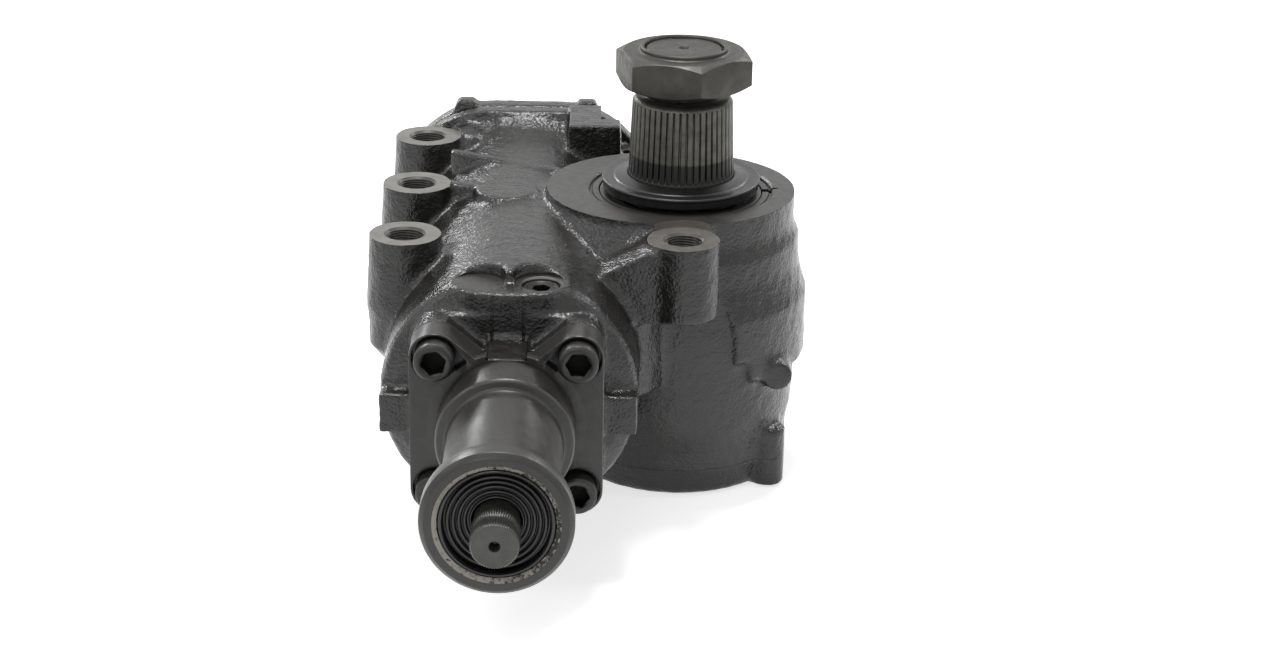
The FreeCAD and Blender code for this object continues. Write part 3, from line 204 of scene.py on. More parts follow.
castPaint = paintMaterial("castPaint")
smoothPaint = paintMaterial("smoothPaint")
faceIron = metalMaterial("faceIron", (0.21, 0.20, 0.182), 0.42, 0.6, 260, 0.35, (1, 14, 1))
boreIron = metalMaterial("boreIron", (0.16, 0.155, 0.145), 0.34, 0.8)
threadIron = metalMaterial("threadIron", (0.085, 0.082, 0.075), 0.42, 0.6)
machinedIron = metalMaterial("machinedIron", (0.2, 0.19, 0.175), 0.42, 0.6)
oiledSteel = metalMaterial("oiledSteel", (0.072, 0.071, 0.066), 0.38, 0.6)
nutSteel = metalMaterial("nutSteel", (0.068, 0.066, 0.059), 0.46, 0.9, 900, 0.3)
# painted shade: near black with little shine, for the insides of hexagon sockets
socketShadeSteel = metalMaterial("socketShadeSteel", (0.006, 0.006, 0.0055), 0.6, 0.0)
socketShadeSteel.node_tree.nodes["Principled BSDF"].inputs["Specular IOR Level"].default_value = 0.12
screwSteel = metalMaterial("screwSteel", (0.034, 0.033, 0.031), 0.40, 0.3, 700, 0.2)
darkSteel = metalMaterial("darkSteel", (0.018, 0.018, 0.017), 0.42, 0.3)
brightSteel = metalMaterial("brightSteel", (0.5, 0.5, 0.5), 0.3, 1.0)
blackRubber = metalMaterial("blackRubber", (0.014, 0.014, 0.0135), 0.36, 0.0, 1500, 0.08)
glossRubber = metalMaterial("glossRubber", (0.012, 0.012, 0.012), 0.1, 0.0, 900, 0.02)
wornRim = wornRimMaterial()
sealPlastic = metalMaterial("sealPlastic", (0.3, 0.22, 0.14), 0.5, 0.0)
splineSteel = splineMaterial()
bySlot = {"cast_paint": castPaint, "cover_paint": smoothPaint, "machined_iron": machinedIron,
          "oiled_steel": oiledSteel, "phosphated_steel": nutSteel, "dark_steel": darkSteel,
          "bright_steel": brightSteel, "black_rubber": blackRubber, "seal_plastic": sealPlastic}


def dress(thing, material):
    # thing: an object or a mesh
    mesh = getattr(thing, "data", thing)
    mesh.materials.clear()
    mesh.materials.append(material)
    return thing


for row in frame["record"]["subparts"]:
    dress(nodes[row["node"]], bySlot[row["material_slot"]])
print("materials ready")


# Mesh helpers

def addObject(name, mesh):
    piece = bpy.data.objects.new(name, mesh)
    bpy.context.scene.collection.objects.link(piece)
    return piece


def meshFrom(name, corners, faces):
    mesh = bpy.data.meshes.new(name)
    mesh.from_pydata([tuple(c) for c in corners], [], faces)
    mesh.update()
    return mesh


def welded(mesh, distance, result=None, outwards=False):
    # corners closer than the distance in mm become one; the result may be another mesh
    work = bmesh.new()
    work.from_mesh(mesh)
    bmesh.ops.remove_doubles(work, verts=work.verts, dist=distance * mm)
    if outwards:
        bmesh.ops.recalc_face_normals(work, faces=work.faces)
    result = result or mesh
    work.to_mesh(result)
    work.free()
    return result


def mergedCopy(node):
    return welded(nodes[node].data, 0.002, bpy.data.meshes.new(node + "Copy"))


def faceOutwards(mesh, distance=0.001):
    return welded(mesh, distance, outwards=True)


def eased(profile, size=0.5):
    # every corner off the axis gets a small round of three points
    closed = profile[0][0] > 1e-6
    count = len(profile)
    points = []
    for k, (r, z) in enumerate(profile):
        if not closed and k in (0, count - 1):
            points.append((r, z))
            continue
        here = Vector((r, z))
        before, after = Vector(profile[k - 1]) - here, Vector(profile[(k + 1) % count]) - here
        if before.length < 1e-6 or after.length < 1e-6 or before.angle(-after) < 0.3:
            points.append((r, z))
            continue
        a = here + before * min(size / before.length, 0.42)
        b = here + after * min(size / after.length, 0.42)
        points += [tuple(a), tuple(0.25 * a + 0.5 * here + 0.25 * b), tuple(b)]
    return points


def turned(profile, segments=96):
    # profile: (radius, height) in mm, from the axis to the axis or a closed ring; turns about Z
    rings = [(r * mm, z * mm) for r, z in profile]
    closed = rings[0][0] > 1e-9
    corners, faces, starts = [], [], []
    for r, z in rings:
        starts.append(len(corners))
        if r < 1e-9:
            corners.append((0.0, 0.0, z))
            continue
        for k in range(segments):
            a = 2 * math.pi * k / segments
            corners.append((r * math.cos(a), r * math.sin(a), z))
    pairs = list(zip(range(len(rings)), range(1, len(rings))))
    if closed:
        pairs.append((len(rings) - 1, 0))
    for i, j in pairs:
        flatI, flatJ = rings[i][0] < 1e-9, rings[j][0] < 1e-9
        for k in range(segments):
            n = (k + 1) % segments
            a, b = starts[i] + (0 if flatI else k), starts[i] + (0 if flatI else n)
            c, d = starts[j] + (0 if flatJ else n), starts[j] + (0 if flatJ else k)
            face = []
            for corner in (a, b, c, d):
                if corner not in face:
                    face.append(corner)
            if len(face) > 2:
                faces.append(tuple(face))
    return faceOutwards(meshFrom("turned", corners, faces))


def rod(radius, low, high, segments=64):
    return turned([(0, low), (radius, low), (radius, high), (0, high)], segments)


def ring(inner, outer, low, high, segments=96):
    return turned([(inner, low), (outer, low), (outer, high), (inner, high)], segments)


def prism(outline, low, high, end=None):
    # outline: (x, y) corners in mm, anticlockwise; between two heights, the far end may have its own corners
    count = len(outline)
    corners = [(x * mm, y * mm, z * mm) for z, ends in ((low, outline), (high, end or outline)) for x, y in ends]
    faces = [tuple(reversed(range(count))), tuple(range(count, 2 * count))]
    faces += [(k, (k + 1) % count, count + (k + 1) % count, count + k) for k in range(count)]
    return meshFrom("prism", corners, faces)


def box(x, y, z):
    # x, y and z: pairs of a low and a high side, in mm
    (left, right), (near, far) = x, y
    return prism([(left, near), (right, near), (right, far), (left, far)], *z)


def hexagon(flats, turn=0.0):
    r = flats / math.sqrt(3)
    return [(r * math.cos(math.radians(turn + 60 * k)), r * math.sin(math.radians(turn + 60 * k)))
            for k in range(6)]


alongY = Euler((math.radians(-90), 0, 0)).to_matrix().to_4x4()       # turns the Z of a piece to +Y
againstY = Euler((math.radians(90), 0, 0)).to_matrix().to_4x4()      # turns the Z of a piece to the input side


def placed(mesh, x=0.0, y=0.0, z=0.0, turn=None):
    matrix = Matrix.Translation(Vector((x, y, z)) * mm)
    if turn is not None:
        matrix = matrix @ turn
    mesh.transform(matrix)
    return mesh


def onMainAxis(mesh):
    return placed(mesh, layout["mainX"], 0, layout["mainZ"], alongY)


def facingFront(mesh):
    # a prism drawn as seen from the input side (right, up), its heights counted towards that side
    return placed(mesh, layout["mainX"], 0, layout["mainZ"], againstY)


def joined(meshes, name="joined"):
    # keeps each mesh's first material
    whole = bpy.data.meshes.new(name)
    materials = []
    work = bmesh.new()
    for mesh in meshes:
        before = len(work.faces)
        work.from_mesh(mesh)
        work.faces.ensure_lookup_table()
        if mesh.materials:
            if mesh.materials[0] not in materials:
                materials.append(mesh.materials[0])
            for face in work.faces[before:]:
                face.material_index = materials.index(mesh.materials[0])
    work.to_mesh(whole)
    work.free()
    for material in materials:
        whole.materials.append(material)
    return whole


def assembled(name, things):
    # one object out of several objects and meshes; the objects go
    whole = addObject(name, joined([getattr(thing, "data", thing) for thing in things]))
    for thing in things:
        if isinstance(thing, bpy.types.Object):
            bpy.data.objects.remove(thing)
    return whole


def settle(piece):
    # the modifiers' result becomes the piece's own mesh
    graph = bpy.context.evaluated_depsgraph_get()
    mesh = bpy.data.meshes.new_from_object(piece.evaluated_get(graph))
    piece.modifiers.clear()
    piece.data = mesh
    return piece


def cut(piece, meshes, kind="DIFFERENCE"):
    # the cut faces take the cutter's material
    for mesh in meshes:
        tool = addObject("tool", mesh)
        modifier = piece.modifiers.new("cut", "BOOLEAN")
        modifier.operation = kind
        modifier.solver = "MANIFOLD"
        modifier.material_mode = "TRANSFER"
        modifier.object = tool
        settle(piece)
        bpy.data.objects.remove(tool)
    return piece


def bevelled(piece, width, angle=30, segments=2):
    modifier = piece.modifiers.new("bevel", "BEVEL")
    modifier.width = width * mm
    modifier.segments = segments
    modifier.limit_method = "ANGLE"
    modifier.angle_limit = math.radians(angle)
    modifier.harden_normals = False
    return settle(piece)


def finished(piece, slot, body, *replaced, angle=32):
    piece.data.shade_smooth()
    piece.data.set_sharp_from_angle(angle=math.radians(angle))
    if replaced:
        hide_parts(*replaced)
    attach(piece, body)
    print(piece.name, "has", len(piece.data.polygons), "faces")
    return piece


# Repeats, as Geometry Nodes trees with named inputs

def newTree(name, inputs):
    tree = bpy.data.node_groups.new(name, "GeometryNodeTree")
    tree.is_modifier = True
    tree.interface.new_socket("Geometry", in_out="INPUT", socket_type="NodeSocketGeometry")
    for label, kind in inputs:
        tree.interface.new_socket(label, in_out="INPUT", socket_type=kind)
    tree.interface.new_socket("Geometry", in_out="OUTPUT", socket_type="NodeSocketGeometry")
    return tree, tree.nodes.new("NodeGroupInput").outputs, tree.nodes.new("NodeGroupOutput").inputs


def runTree(piece, tree, **values):
    modifier = piece.modifiers.new("repeat", "NODES")
    modifier.node_group = tree
    for item in tree.interface.items_tree:
        if item.name in values:
            modifier[item.identifier] = values[item.name]
    return settle(piece)


def copiesIn(tree, given, result, points, turn, weld=0.0):
    # copies of Piece at the points, made real, welded over this distance in mm, in one material
    link = tree.links.new
    source = tree.nodes.new("GeometryNodeObjectInfo")
    link(given["Piece"], source.inputs["Object"])
    copies = tree.nodes.new("GeometryNodeInstanceOnPoints")
    link(points, copies.inputs["Points"])
    link(source.outputs["Geometry"], copies.inputs["Instance"])
    link(turn, copies.inputs["Rotation"])
    real = tree.nodes.new("GeometryNodeRealizeInstances")
    link(copies.outputs[0], real.inputs[0])
    whole = real.outputs[0]
    if weld:
        merge = addNode(tree, "GeometryNodeMergeByDistance", Distance=weld * mm)
        link(whole, merge.inputs["Geometry"])
        whole = merge.outputs[0]
    paint = tree.nodes.new("GeometryNodeSetMaterial")
    link(whole, paint.inputs["Geometry"])
    link(given["Material"], paint.inputs["Material"])
    link(paint.outputs[0], result[0])
    return tree


def aroundTree():
    # Count copies of Piece around the Z axis, welded where they touch
    tree, given, result = newTree("aroundAxis", [
        ("Piece", "NodeSocketObject"), ("Count", "NodeSocketInt"), ("Material", "NodeSocketMaterial")])
    line = addNode(tree, "GeometryNodeMeshLine", mode="OFFSET", Offset=(0, 0, 0))
    tree.links.new(given["Count"], line.inputs["Count"])
    step = mathOf(tree, "DIVIDE", 2 * math.pi, given["Count"])
    turn = tree.nodes.new("ShaderNodeCombineXYZ")
    angle = mathOf(tree, "MULTIPLY", tree.nodes.new("GeometryNodeInputIndex").outputs[0], step)
    tree.links.new(angle, turn.inputs["Z"])
    return copiesIn(tree, given, result, line.outputs["Mesh"], turn.outputs[0], 0.01)


def placesTree():
    # a copy of Piece at every corner of the carrier, spun about Axis by a seeded amount
    tree, given, result = newTree("atPlaces", [
        ("Piece", "NodeSocketObject"), ("Axis", "NodeSocketVector"), ("Seed", "NodeSocketInt"),
        ("Material", "NodeSocketMaterial")])
    link = tree.links.new
    spin = addNode(tree, "FunctionNodeRandomValue", data_type="FLOAT")
    spin.inputs[3].default_value = 2 * math.pi
    link(given["Seed"], spin.inputs["Seed"])
    turn = addNode(tree, "ShaderNodeVectorMath", operation="SCALE")
    link(given["Axis"], turn.inputs[0])
    link(spin.outputs[1], turn.inputs["Scale"])
    points = tree.nodes.new("GeometryNodeMeshToPoints")
    link(given["Geometry"], points.inputs["Mesh"])
    return copiesIn(tree, given, result, points.outputs[0], turn.outputs[0])


aroundAxis = aroundTree()
atPlaces = placesTree()


def repeatAround(name, mesh, count, material):
    source = addObject("source", dress(mesh, material))
    piece = runTree(addObject(name, bpy.data.meshes.new(name)), aroundAxis,
                    Piece=source, Count=count, Material=material)
    bpy.data.objects.remove(source)
    return dress(piece, material)


def repeatAt(name, mesh, places, axis, seed, material):
    source = addObject("source", dress(mesh, material))
    carrier = meshFrom(name, [Vector(p) * mm for p in places], [])
    piece = runTree(addObject(name, carrier), atPlaces, Piece=source, Axis=axis, Seed=seed, Material=material)
    bpy.data.objects.remove(source)
    return dress(piece, material)


def threadSleeve(radius, depth, pitch, low, high, material, segments=56):
    # surface of a screw thread: the radius follows the angle and the height
    rows = int((high - low) / pitch * 6) + 1
    corners, faces = [], []
    for j in range(rows):
        z = low + (high - low) * j / (rows - 1)
        for k in range(segments):
            turn = k / segments
            phase = (z / pitch - turn) % 1.0
            r = radius - depth * min(abs(2 * phase - 1) * 1.25, 1.0)
            corners.append((r * math.cos(2 * math.pi * turn) * mm, r * math.sin(2 * math.pi * turn) * mm, z * mm))
    for j in range(rows - 1):
        for k in range(segments):
            n = (k + 1) % segments
            faces.append((j * segments + k, j * segments + n, (j + 1) * segments + n, (j + 1) * segments + k))
    return dress(meshFrom("thread", corners, faces), material)


def flipped(mesh):
    mesh.flip_normals()
    return mesh


# Cast skins: the solid is filled, remeshed, its inner corners filled like a casting's, then machined

def vertexRows(mesh, label):
    # places ("co") or normals ("normal") of the corners, one row each
    values = np.empty(len(mesh.vertices) * 3)
    mesh.vertices.foreach_get(label, values)
    return values.reshape(-1, 3)


def setCorners(mesh, co):
    mesh.vertices.foreach_set("co", co.ravel())
    mesh.update()


def soften(mesh, rounds, fill, wear, crispFront=None):
    # inner corners fill up by the share fill, outer corners wear down by the share wear;
    # crispFront: (y, y, share) in mm, in front of which only that share of it happens
    edges = np.empty(len(mesh.edges) * 2, dtype=np.int64)
    mesh.edges.foreach_get("vertices", edges)
    first, second = edges.reshape(-1, 2).T
    co = vertexRows(mesh, "co")
    count = len(co)
    degree = np.bincount(first, minlength=count) + np.bincount(second, minlength=count)
    weight = np.ones(count)
    if crispFront is not None:
        weight = np.interp(co[:, 1] / mm, crispFront[:2], (crispFront[2], 1.0))
    for step in range(rounds):
        if step % 4 == 0:
            setCorners(mesh, co)
            normals = vertexRows(mesh, "normal")
        mean = np.empty_like(co)
        for axis in range(3):
            mean[:, axis] = (np.bincount(first, co[second, axis], count)
                             + np.bincount(second, co[first, axis], count)) / degree
        delta = mean - co
        out = np.einsum("ij,ij->i", delta, normals)
        share = np.where(out > 0, fill, wear) * weight
        co += 0.5 * (delta - out[:, None] * normals) + (share * out)[:, None] * normals
    setCorners(mesh, co)


def waves(points, size, seed, count=28):
    # smooth random field with features of about this size, made of a few plane waves
    rng = np.random.default_rng(seed)
    total = np.zeros(len(points))
    for _ in range(count):
        direction = rng.normal(size=3)
        direction /= np.linalg.norm(direction)
        rate = 2 * math.pi / (size * rng.uniform(0.7, 1.6))
        total += np.cos(points @ direction * rate + rng.uniform(0, 2 * math.pi))
    return total / math.sqrt(count / 2)


skinWaves = [(11, 3, 0.6), (5, 8, 0.4)]    # size in mm, seed and share of the skin's unevenness


def castSkin(name, node, fillers, s, material):
    # s: voxel size, melt and rounds of softening, fill and wear, roughness in mm, share of faces to keep
    raw = addObject(name, joined([mergedCopy(node)] + fillers, name))
    remesh = raw.modifiers.new("remesh", "REMESH")
    remesh.mode = "VOXEL"
    remesh.voxel_size = s["voxel"] * mm
    settle(raw)
    soften(raw.data, s["melt"], 0.5, 0.5)
    soften(raw.data, s["rounds"], s["fill"], s["wear"], s.get("crispFront"))
    co, normals = vertexRows(raw.data, "co"), vertexRows(raw.data, "normal")
    lift = sum(waves(co, size * mm, seed) * share for size, seed, share in skinWaves)
    setCorners(raw.data, co + normals * (lift * s["rough"] * mm)[:, None])
    thin = raw.modifiers.new("thin", "DECIMATE")
    thin.ratio = s["keep"]
    settle(raw)
    return dress(raw, material)


# Housing

sideSizes = {"boltCircle": 66.5, "boltAngle": 36, "lugRadius": 10, "lugLow": -149, "seat": -154,
             "plateInner": 45, "plateOuter": 66.4, "screwHole": 5.3, "counterbore": 8.6}

housingSkin = {
    "voxel": 1.3, "melt": 2, "rounds": 26, "fill": 0.5, "wear": 0.03, "rough": 0.14, "keep": 0.55,
    "crispFront": (-122, -92, 0.2),
    "rimRadius": 66.4, "rimBehind": 64.5, "rimSpan": (-12, 11), "behind": -13,    # round the output shaft
    "bossRadius": 20, "bossLow": -42, "holeRadius": 9.2, "holeDepth": 34, "chamfer": 1.5,
    "bossFoot": [(0, -64), (21, -64), (20.3, -20), (19.7, -14), (0, -14)],
    "boreTop": 53, "boreUpper": 46, "boreGear": 59.5, "boreFloor": -8, "gearTop": -33,
    "groove": 2, "grooveSpan": (-0.6, 2),                                         # for the retaining ring
    "barrelBore": 55, "chamberFront": -112, "valveBore": 34, "valveFloor": -119, "stemHole": 17,
    "rearFlare": [(0, 96), (69.5, 98), (70.6, 108), (73, 117), (78.6, 126), (0, 127)],
    "skirt": [(0, -70), (88, -44), (78, -20), (70, -6), (62, 2.6), (0, 2.6)],     # from the drum to the barrel
    "skirtLeft": -12, "block": ((-46.8, -25), (106, 138.9), (-14, 16)),           # corner missing at the rear
    "ringGap": [(52.6, -1.6), (56.6, -0.5), (56.8, 1.0), (52.6, 2.0)],
    "portX": 16.8, "portY": -133, "portZ": -7, "portSpot": 13.9, "portHole": 10.2, "portDepth": 15,
    "portSeams": (-102.7, -86), "seam": ((-0.8, 0.8), (-6, 0.7)), "seamLow": -32, "seamY": -150,
    "tongueHalf": 10.4, "tongueLow": 32.6, "tongueTop": 36.4, "tongueBack": 39, "tongueSpan": (140, 175.5),
    "padTop": -34, "padRise": 28, "padFoot": 69, "padRadius": 75.4, "padInside": 62, "padRight": 14,
    "padLeft": [(-69.8, -42), (-62.8, -72.7), (-57, -79.3), (-48.3, -89.4), (-46, -93)],
}


def sidePlaces():
    a = math.radians(sideSizes["boltAngle"])
    return [(i * sideSizes["boltCircle"] * math.cos(a), j * sideSizes["boltCircle"] * math.sin(a))
            for i in (-1, 1) for j in (-1, 1)]


def drumPad():
    # raised pad round the drum: its left border slants, its top runs out into the drum's wall
    s = housingSkin
    border = s["padLeft"]
    angles = np.linspace(border[0][0], s["padRight"], 43)
    lowEnd = np.interp(angles, [a for a, z in border], [z for a, z in border])
    rows = 12
    corners, faces = [], []
    for inner in (True, False):
        for a, bottom in zip(np.radians(angles), lowEnd):
            for j in range(rows):
                z = s["padTop"] + (bottom - s["padTop"]) * j / (rows - 1)
                lift = min(1.0, (s["padTop"] - z) / s["padRise"])
                r = s["padInside"] if inner else s["padFoot"] + (s["padRadius"] - s["padFoot"]) * lift ** 0.7
                corners.append((r * math.cos(a) * mm, r * math.sin(a) * mm, z * mm))
    size = len(angles) * rows
    for i in range(len(angles) - 1):
        for j in range(rows - 1):
            a = i * rows + j
            faces.append((a, a + 1, a + rows + 1, a + rows))
            faces.append((size + a, size + a + rows, size + a + rows + 1, size + a + 1))
    last = len(angles) - 1
    rim = [i * rows for i in range(last + 1)] + [last * rows + j for j in range(1, rows)]
    rim += [i * rows + rows - 1 for i in range(last - 1, -1, -1)] + list(range(rows - 2, 0, -1))
    for k, a in enumerate(rim):
        b = rim[(k + 1) % len(rim)]
        faces.append((a, b, size + b, size + a))
    return faceOutwards(meshFrom("pad", corners, faces))


def tongueEnd(top):
    s = housingSkin
    return [(-s["tongueHalf"], s["tongueLow"]), (s["tongueHalf"], s["tongueLow"]),
            (s["tongueHalf"], top), (-s["tongueHalf"], top)]


def housingFillers():
    # closes the bores and holes before the skin is made, and adds the forms that the solid lacks
    s = housingSkin
    fillers = [rod(s["rimRadius"], *s["rimSpan"]),
               rod(s["boreGear"] + 1, layout["drumBase"] - 5, s["gearTop"] + 1),
               rod(s["boreUpper"] + 1, s["gearTop"] - 1, s["boreFloor"] + 1),
               placed(rod(s["rimBehind"], *s["rimSpan"]), s["behind"]), drumPad()]
    for x, y in layout["holes"]:
        fillers.append(placed(rod(s["bossRadius"] - 0.3, s["bossLow"], 5), x, y))
    for x, y in layout["holes"][:3]:
        # the bosses run out in wide feet on the barrel
        fillers.append(placed(turned(s["bossFoot"]), x, y))
    fillers += [onMainAxis(rod(s["barrelBore"] + 1, s["chamberFront"] - 1, layout["rearJoint"] + 5)),
                onMainAxis(rod(s["valveBore"] + 2, layout["frontJoint"] - 5, s["chamberFront"] + 1)),
                onMainAxis(turned(s["rearFlare"]))]
    skirt = addObject("skirt", placed(turned(s["skirt"]), s["behind"]))
    cut(skirt, [box((s["skirtLeft"], 100), (-120, 120), (-80, 20))])
    fillers.append(skirt.data)
    bpy.data.objects.remove(skirt)
    low, high = s["tongueSpan"]
    fillers.append(facingFront(prism(tongueEnd(s["tongueBack"]), low, high, tongueEnd(s["tongueTop"]))))
    foot = layout["drumBase"] - 6, layout["drumBase"] + 7
    fillers.append(ring(s["boreGear"] + 0.5, sideSizes["plateOuter"], *foot))
    fillers += [placed(rod(sideSizes["lugRadius"], *foot), x, y) for x, y in sidePlaces()]
    for side in (-1, 1):
        # the ports are spot-faced later, so they are filled first
        fillers.append(placed(rod(9, s["portZ"] - 17, s["portZ"] + 0.4),
                              layout["mainX"] + side * s["portX"], s["portY"]))
    return fillers


def makeHousing():
    s = housingSkin
    drumTop, drumBase, rearJoint = layout["drumTop"], layout["drumBase"], layout["rearJoint"]
    piece = castSkin("housingCasting", "housing", housingFillers(), s, castPaint)
    grooveLow, grooveHigh = s["grooveSpan"]
    bore = turned([(0, 20), (s["boreTop"] + 1, 20), (s["boreTop"] + 1, drumTop), (s["boreTop"], drumTop - 1),
                   (s["boreTop"], grooveHigh), (s["boreTop"] + s["groove"], grooveHigh),
                   (s["boreTop"] + s["groove"], grooveLow), (s["boreTop"], grooveLow),
                   (s["boreTop"], s["boreFloor"]), (s["boreUpper"], s["boreFloor"]),
                   (s["boreUpper"], s["gearTop"]), (s["boreGear"], s["gearTop"]),
                   (s["boreGear"], -170), (0, -170)], 128)
    inside = turned([(0, -175), (s["valveBore"], -175), (s["valveBore"], s["valveFloor"]),
                     (s["stemHole"], s["valveFloor"]), (s["stemHole"], s["chamberFront"]),
                     (s["barrelBore"], s["chamberFront"]), (s["barrelBore"], 150), (0, 150)], 128)
    half, low = s["tongueHalf"], s["tongueLow"]
    front = prism([(-60, -60), (60, -60), (60, 60), (half, 60), (half, low), (-half, low), (-half, 60),
                   (-60, 60)], -layout["frontJoint"], 190)    # all but the tongue
    cutters = [dress(box(*s["block"]), castPaint)]
    for x in s["portSeams"]:
        cutters.append(dress(placed(box(*s["seam"], (s["seamLow"], s["portZ"] + 4)), x, s["seamY"]), castPaint))
    cutters += [dress(turned([(0, 12), (80, 12), (80, drumTop), (0, drumTop)]), smoothPaint),
                dress(bore, smoothPaint), dress(onMainAxis(inside), boreIron), dress(facingFront(front), boreIron),
                dress(box((-200, 20), (rearJoint, 165), (-190, 40)), boreIron),
                dress(rod(90, -190, drumBase), boreIron), dress(prism(s["ringGap"], 1.6, 6), blackRubber)]
    for x, y in layout["holes"]:
        cutters.append(dress(placed(rod(s["bossRadius"] + 0.5, 0, 9), x, y), faceIron))
        r = s["holeRadius"] + 0.9
        cutters.append(dress(placed(turned([
            (0, 2), (r + s["chamfer"], 2), (r + s["chamfer"], 0), (r, -s["chamfer"]), (r, -s["holeDepth"]),
            (0, -s["holeDepth"] - 5)], 64), x, y), threadIron))
    portZ = s["portZ"]
    for side in (-1, 1):
        spot = turned([(0, 8), (s["portSpot"], 8), (s["portSpot"], portZ), (0, portZ)])
        cutters.append(dress(placed(spot, layout["mainX"] + side * s["portX"], s["portY"]), smoothPaint))
    hole = turned([(0, 8), (s["portHole"] + 1, 8), (s["portHole"] + 1, portZ), (s["portHole"], portZ - 1),
                   (s["portHole"], portZ - s["portDepth"]), (0, portZ - s["portDepth"] - 1)])
    cutters.append(dress(placed(hole, layout["mainX"] + s["portX"], s["portY"]), boreIron))
    cut(piece, cutters)
    return finished(piece, "cast_paint", "gearbox", "housing")


def makeThreads():
    # tapped walls of the five mounting holes, M20 with a fine pitch
    s = housingSkin
    low, high, pitch, depth = -s["holeDepth"] + 1, -1.2, 1.5, 0.8
    walls = [placed(flipped(threadSleeve(s["holeRadius"] + 0.85, depth, pitch, low, high, threadIron)), x, y)
             for x, y in layout["holes"]]
    return finished(addObject("mountThreads", joined(walls)), "machined_iron", "gearbox", angle=50)


# Front, rear and side covers

coverSkin = {"voxel": 0.65, "melt": 1, "rounds": 2, "fill": 0.5, "wear": 0.05, "rough": 0.03, "keep": 0.45,
             "mouth": 29, "mouthFloor": -279.7, "bearing": 21, "bearingFloor": -214, "stem": 17,
             "spigotBore": 30, "boltHalf": 37.5, "boltRadius": 7.2, "counterbore": 11.9, "flangeFace": -171,
             "hub": 36.3, "hubEnd": -201.4, "neck": 30.1, "collar": 37.9, "tip": -295.7, "turnedFrom": -186}
plainSkin = {"voxel": 1.3, "melt": 2, "rounds": 8, "fill": 0.5, "wear": 0.1, "rough": 0.09, "keep": 0.6}


def frontPlaces():
    half = coverSkin["boltHalf"]
    return [(layout["mainX"] + a, layout["mainZ"] + b) for a in (-half, half) for b in (-half, half)]


def coverSleeve():
    # the turned neck from the hub to the collar's tip
    s = coverSkin
    hub, hubEnd, neck, collar, tip = (s[key] for key in ("hub", "hubEnd", "neck", "collar", "tip"))
    return turned(eased([(14, -172), (hub, -172), (hub, hubEnd + 1.6), (hub - 1.1, hubEnd),
                         (neck + 2.0, hubEnd - 0.5), (neck + 0.7, hubEnd - 1.6), (neck, hubEnd - 4.6),
                         (neck, tip + 26), (collar - 4.6, tip + 18.5), (collar - 4.3, tip + 13.4),
                         (collar - 0.9, tip + 13.2), (collar, tip + 12.2), (collar, tip + 2.6),
                         (collar - 2.6, tip), (14, tip)], 0.4), 160)


def makeFrontCover():
    s = coverSkin
    mouth, face = s["mouth"], s["flangeFace"]
    fillers = [onMainAxis(rod(30.8, -290, -151)), onMainAxis(rod(mouth + 1, -295, -278))]
    for x, z in frontPlaces():
        fillers.append(placed(rod(8, face + 0.2, layout["frontJoint"] - 1), x, 0, z, alongY))
    piece = castSkin("frontCoverCasting", "front_cover", fillers, s, smoothPaint)
    cut(piece, [dress(onMainAxis(rod(60, -300, s["turnedFrom"])), smoothPaint)])
    cut(piece, [dress(onMainAxis(coverSleeve()), smoothPaint)], "UNION")
    half, low = housingSkin["tongueHalf"] + 0.25, housingSkin["tongueLow"] - 0.3
    notch = box((-half, half), (low, 60), (140, 176.4))
    step = ring(s["hub"] + 0.05, 47, 177.05, 190)
    gap = box((-half, half), (s["hub"] + 0.1, 60), (140, 184))
    cut(piece, [dress(facingFront(mesh), smoothPaint) for mesh in (notch, step, gap)])
    bore = turned([(0, -310), (mouth, -310), (mouth, s["mouthFloor"]), (s["bearing"], s["mouthFloor"]),
                   (s["bearing"], s["bearingFloor"]), (s["stem"], s["bearingFloor"]), (s["stem"], -166),
                   (s["spigotBore"], -166), (s["spigotBore"], -140), (0, -140)], 128)
    rim = turned([(0, -300), (34.5, -300), (mouth + 2.6, -295.9), (mouth - 0.05, -293.9), (0, -293.9)], 160)
    cutters = [dress(onMainAxis(bore), boreIron), dress(onMainAxis(rim), wornRim)]
    for x, z in frontPlaces():
        cutters.append(dress(placed(rod(s["boltRadius"], -175, -150, 32), x, 0, z, alongY), darkSteel))
        cutters.append(dress(placed(rod(s["counterbore"], -185, face), x, 0, z, alongY), smoothPaint))
    cut(piece, cutters)
    return finished(piece, "cover_paint", "gearbox", "front_cover")


def makeSideCover():
    s = sideSizes
    base, low = layout["drumBase"], s["lugLow"]
    fillers = [ring(s["plateInner"], s["plateOuter"], low, base + 6)]
    cutters = [dress(rod(90, base - 0.02, -60), boreIron)]
    for x, y in sidePlaces():
        fillers.append(placed(rod(s["lugRadius"], low, base + 6), x, y))
        fillers.append(placed(rod(8.2, -163.5, low + 1), x, y))
        cutters += [dress(placed(rod(s["screwHole"], -170, -140, 32), x, y), darkSteel),
                    dress(placed(rod(s["counterbore"], -170, s["seat"], 48), x, y), smoothPaint)]
    piece = castSkin("sideCoverCasting", "side_cover", fillers, plainSkin, castPaint)
    cut(piece, cutters)
    return finished(piece, "cast_paint", "gearbox", "side_cover")


# Output shaft head, nut and seals

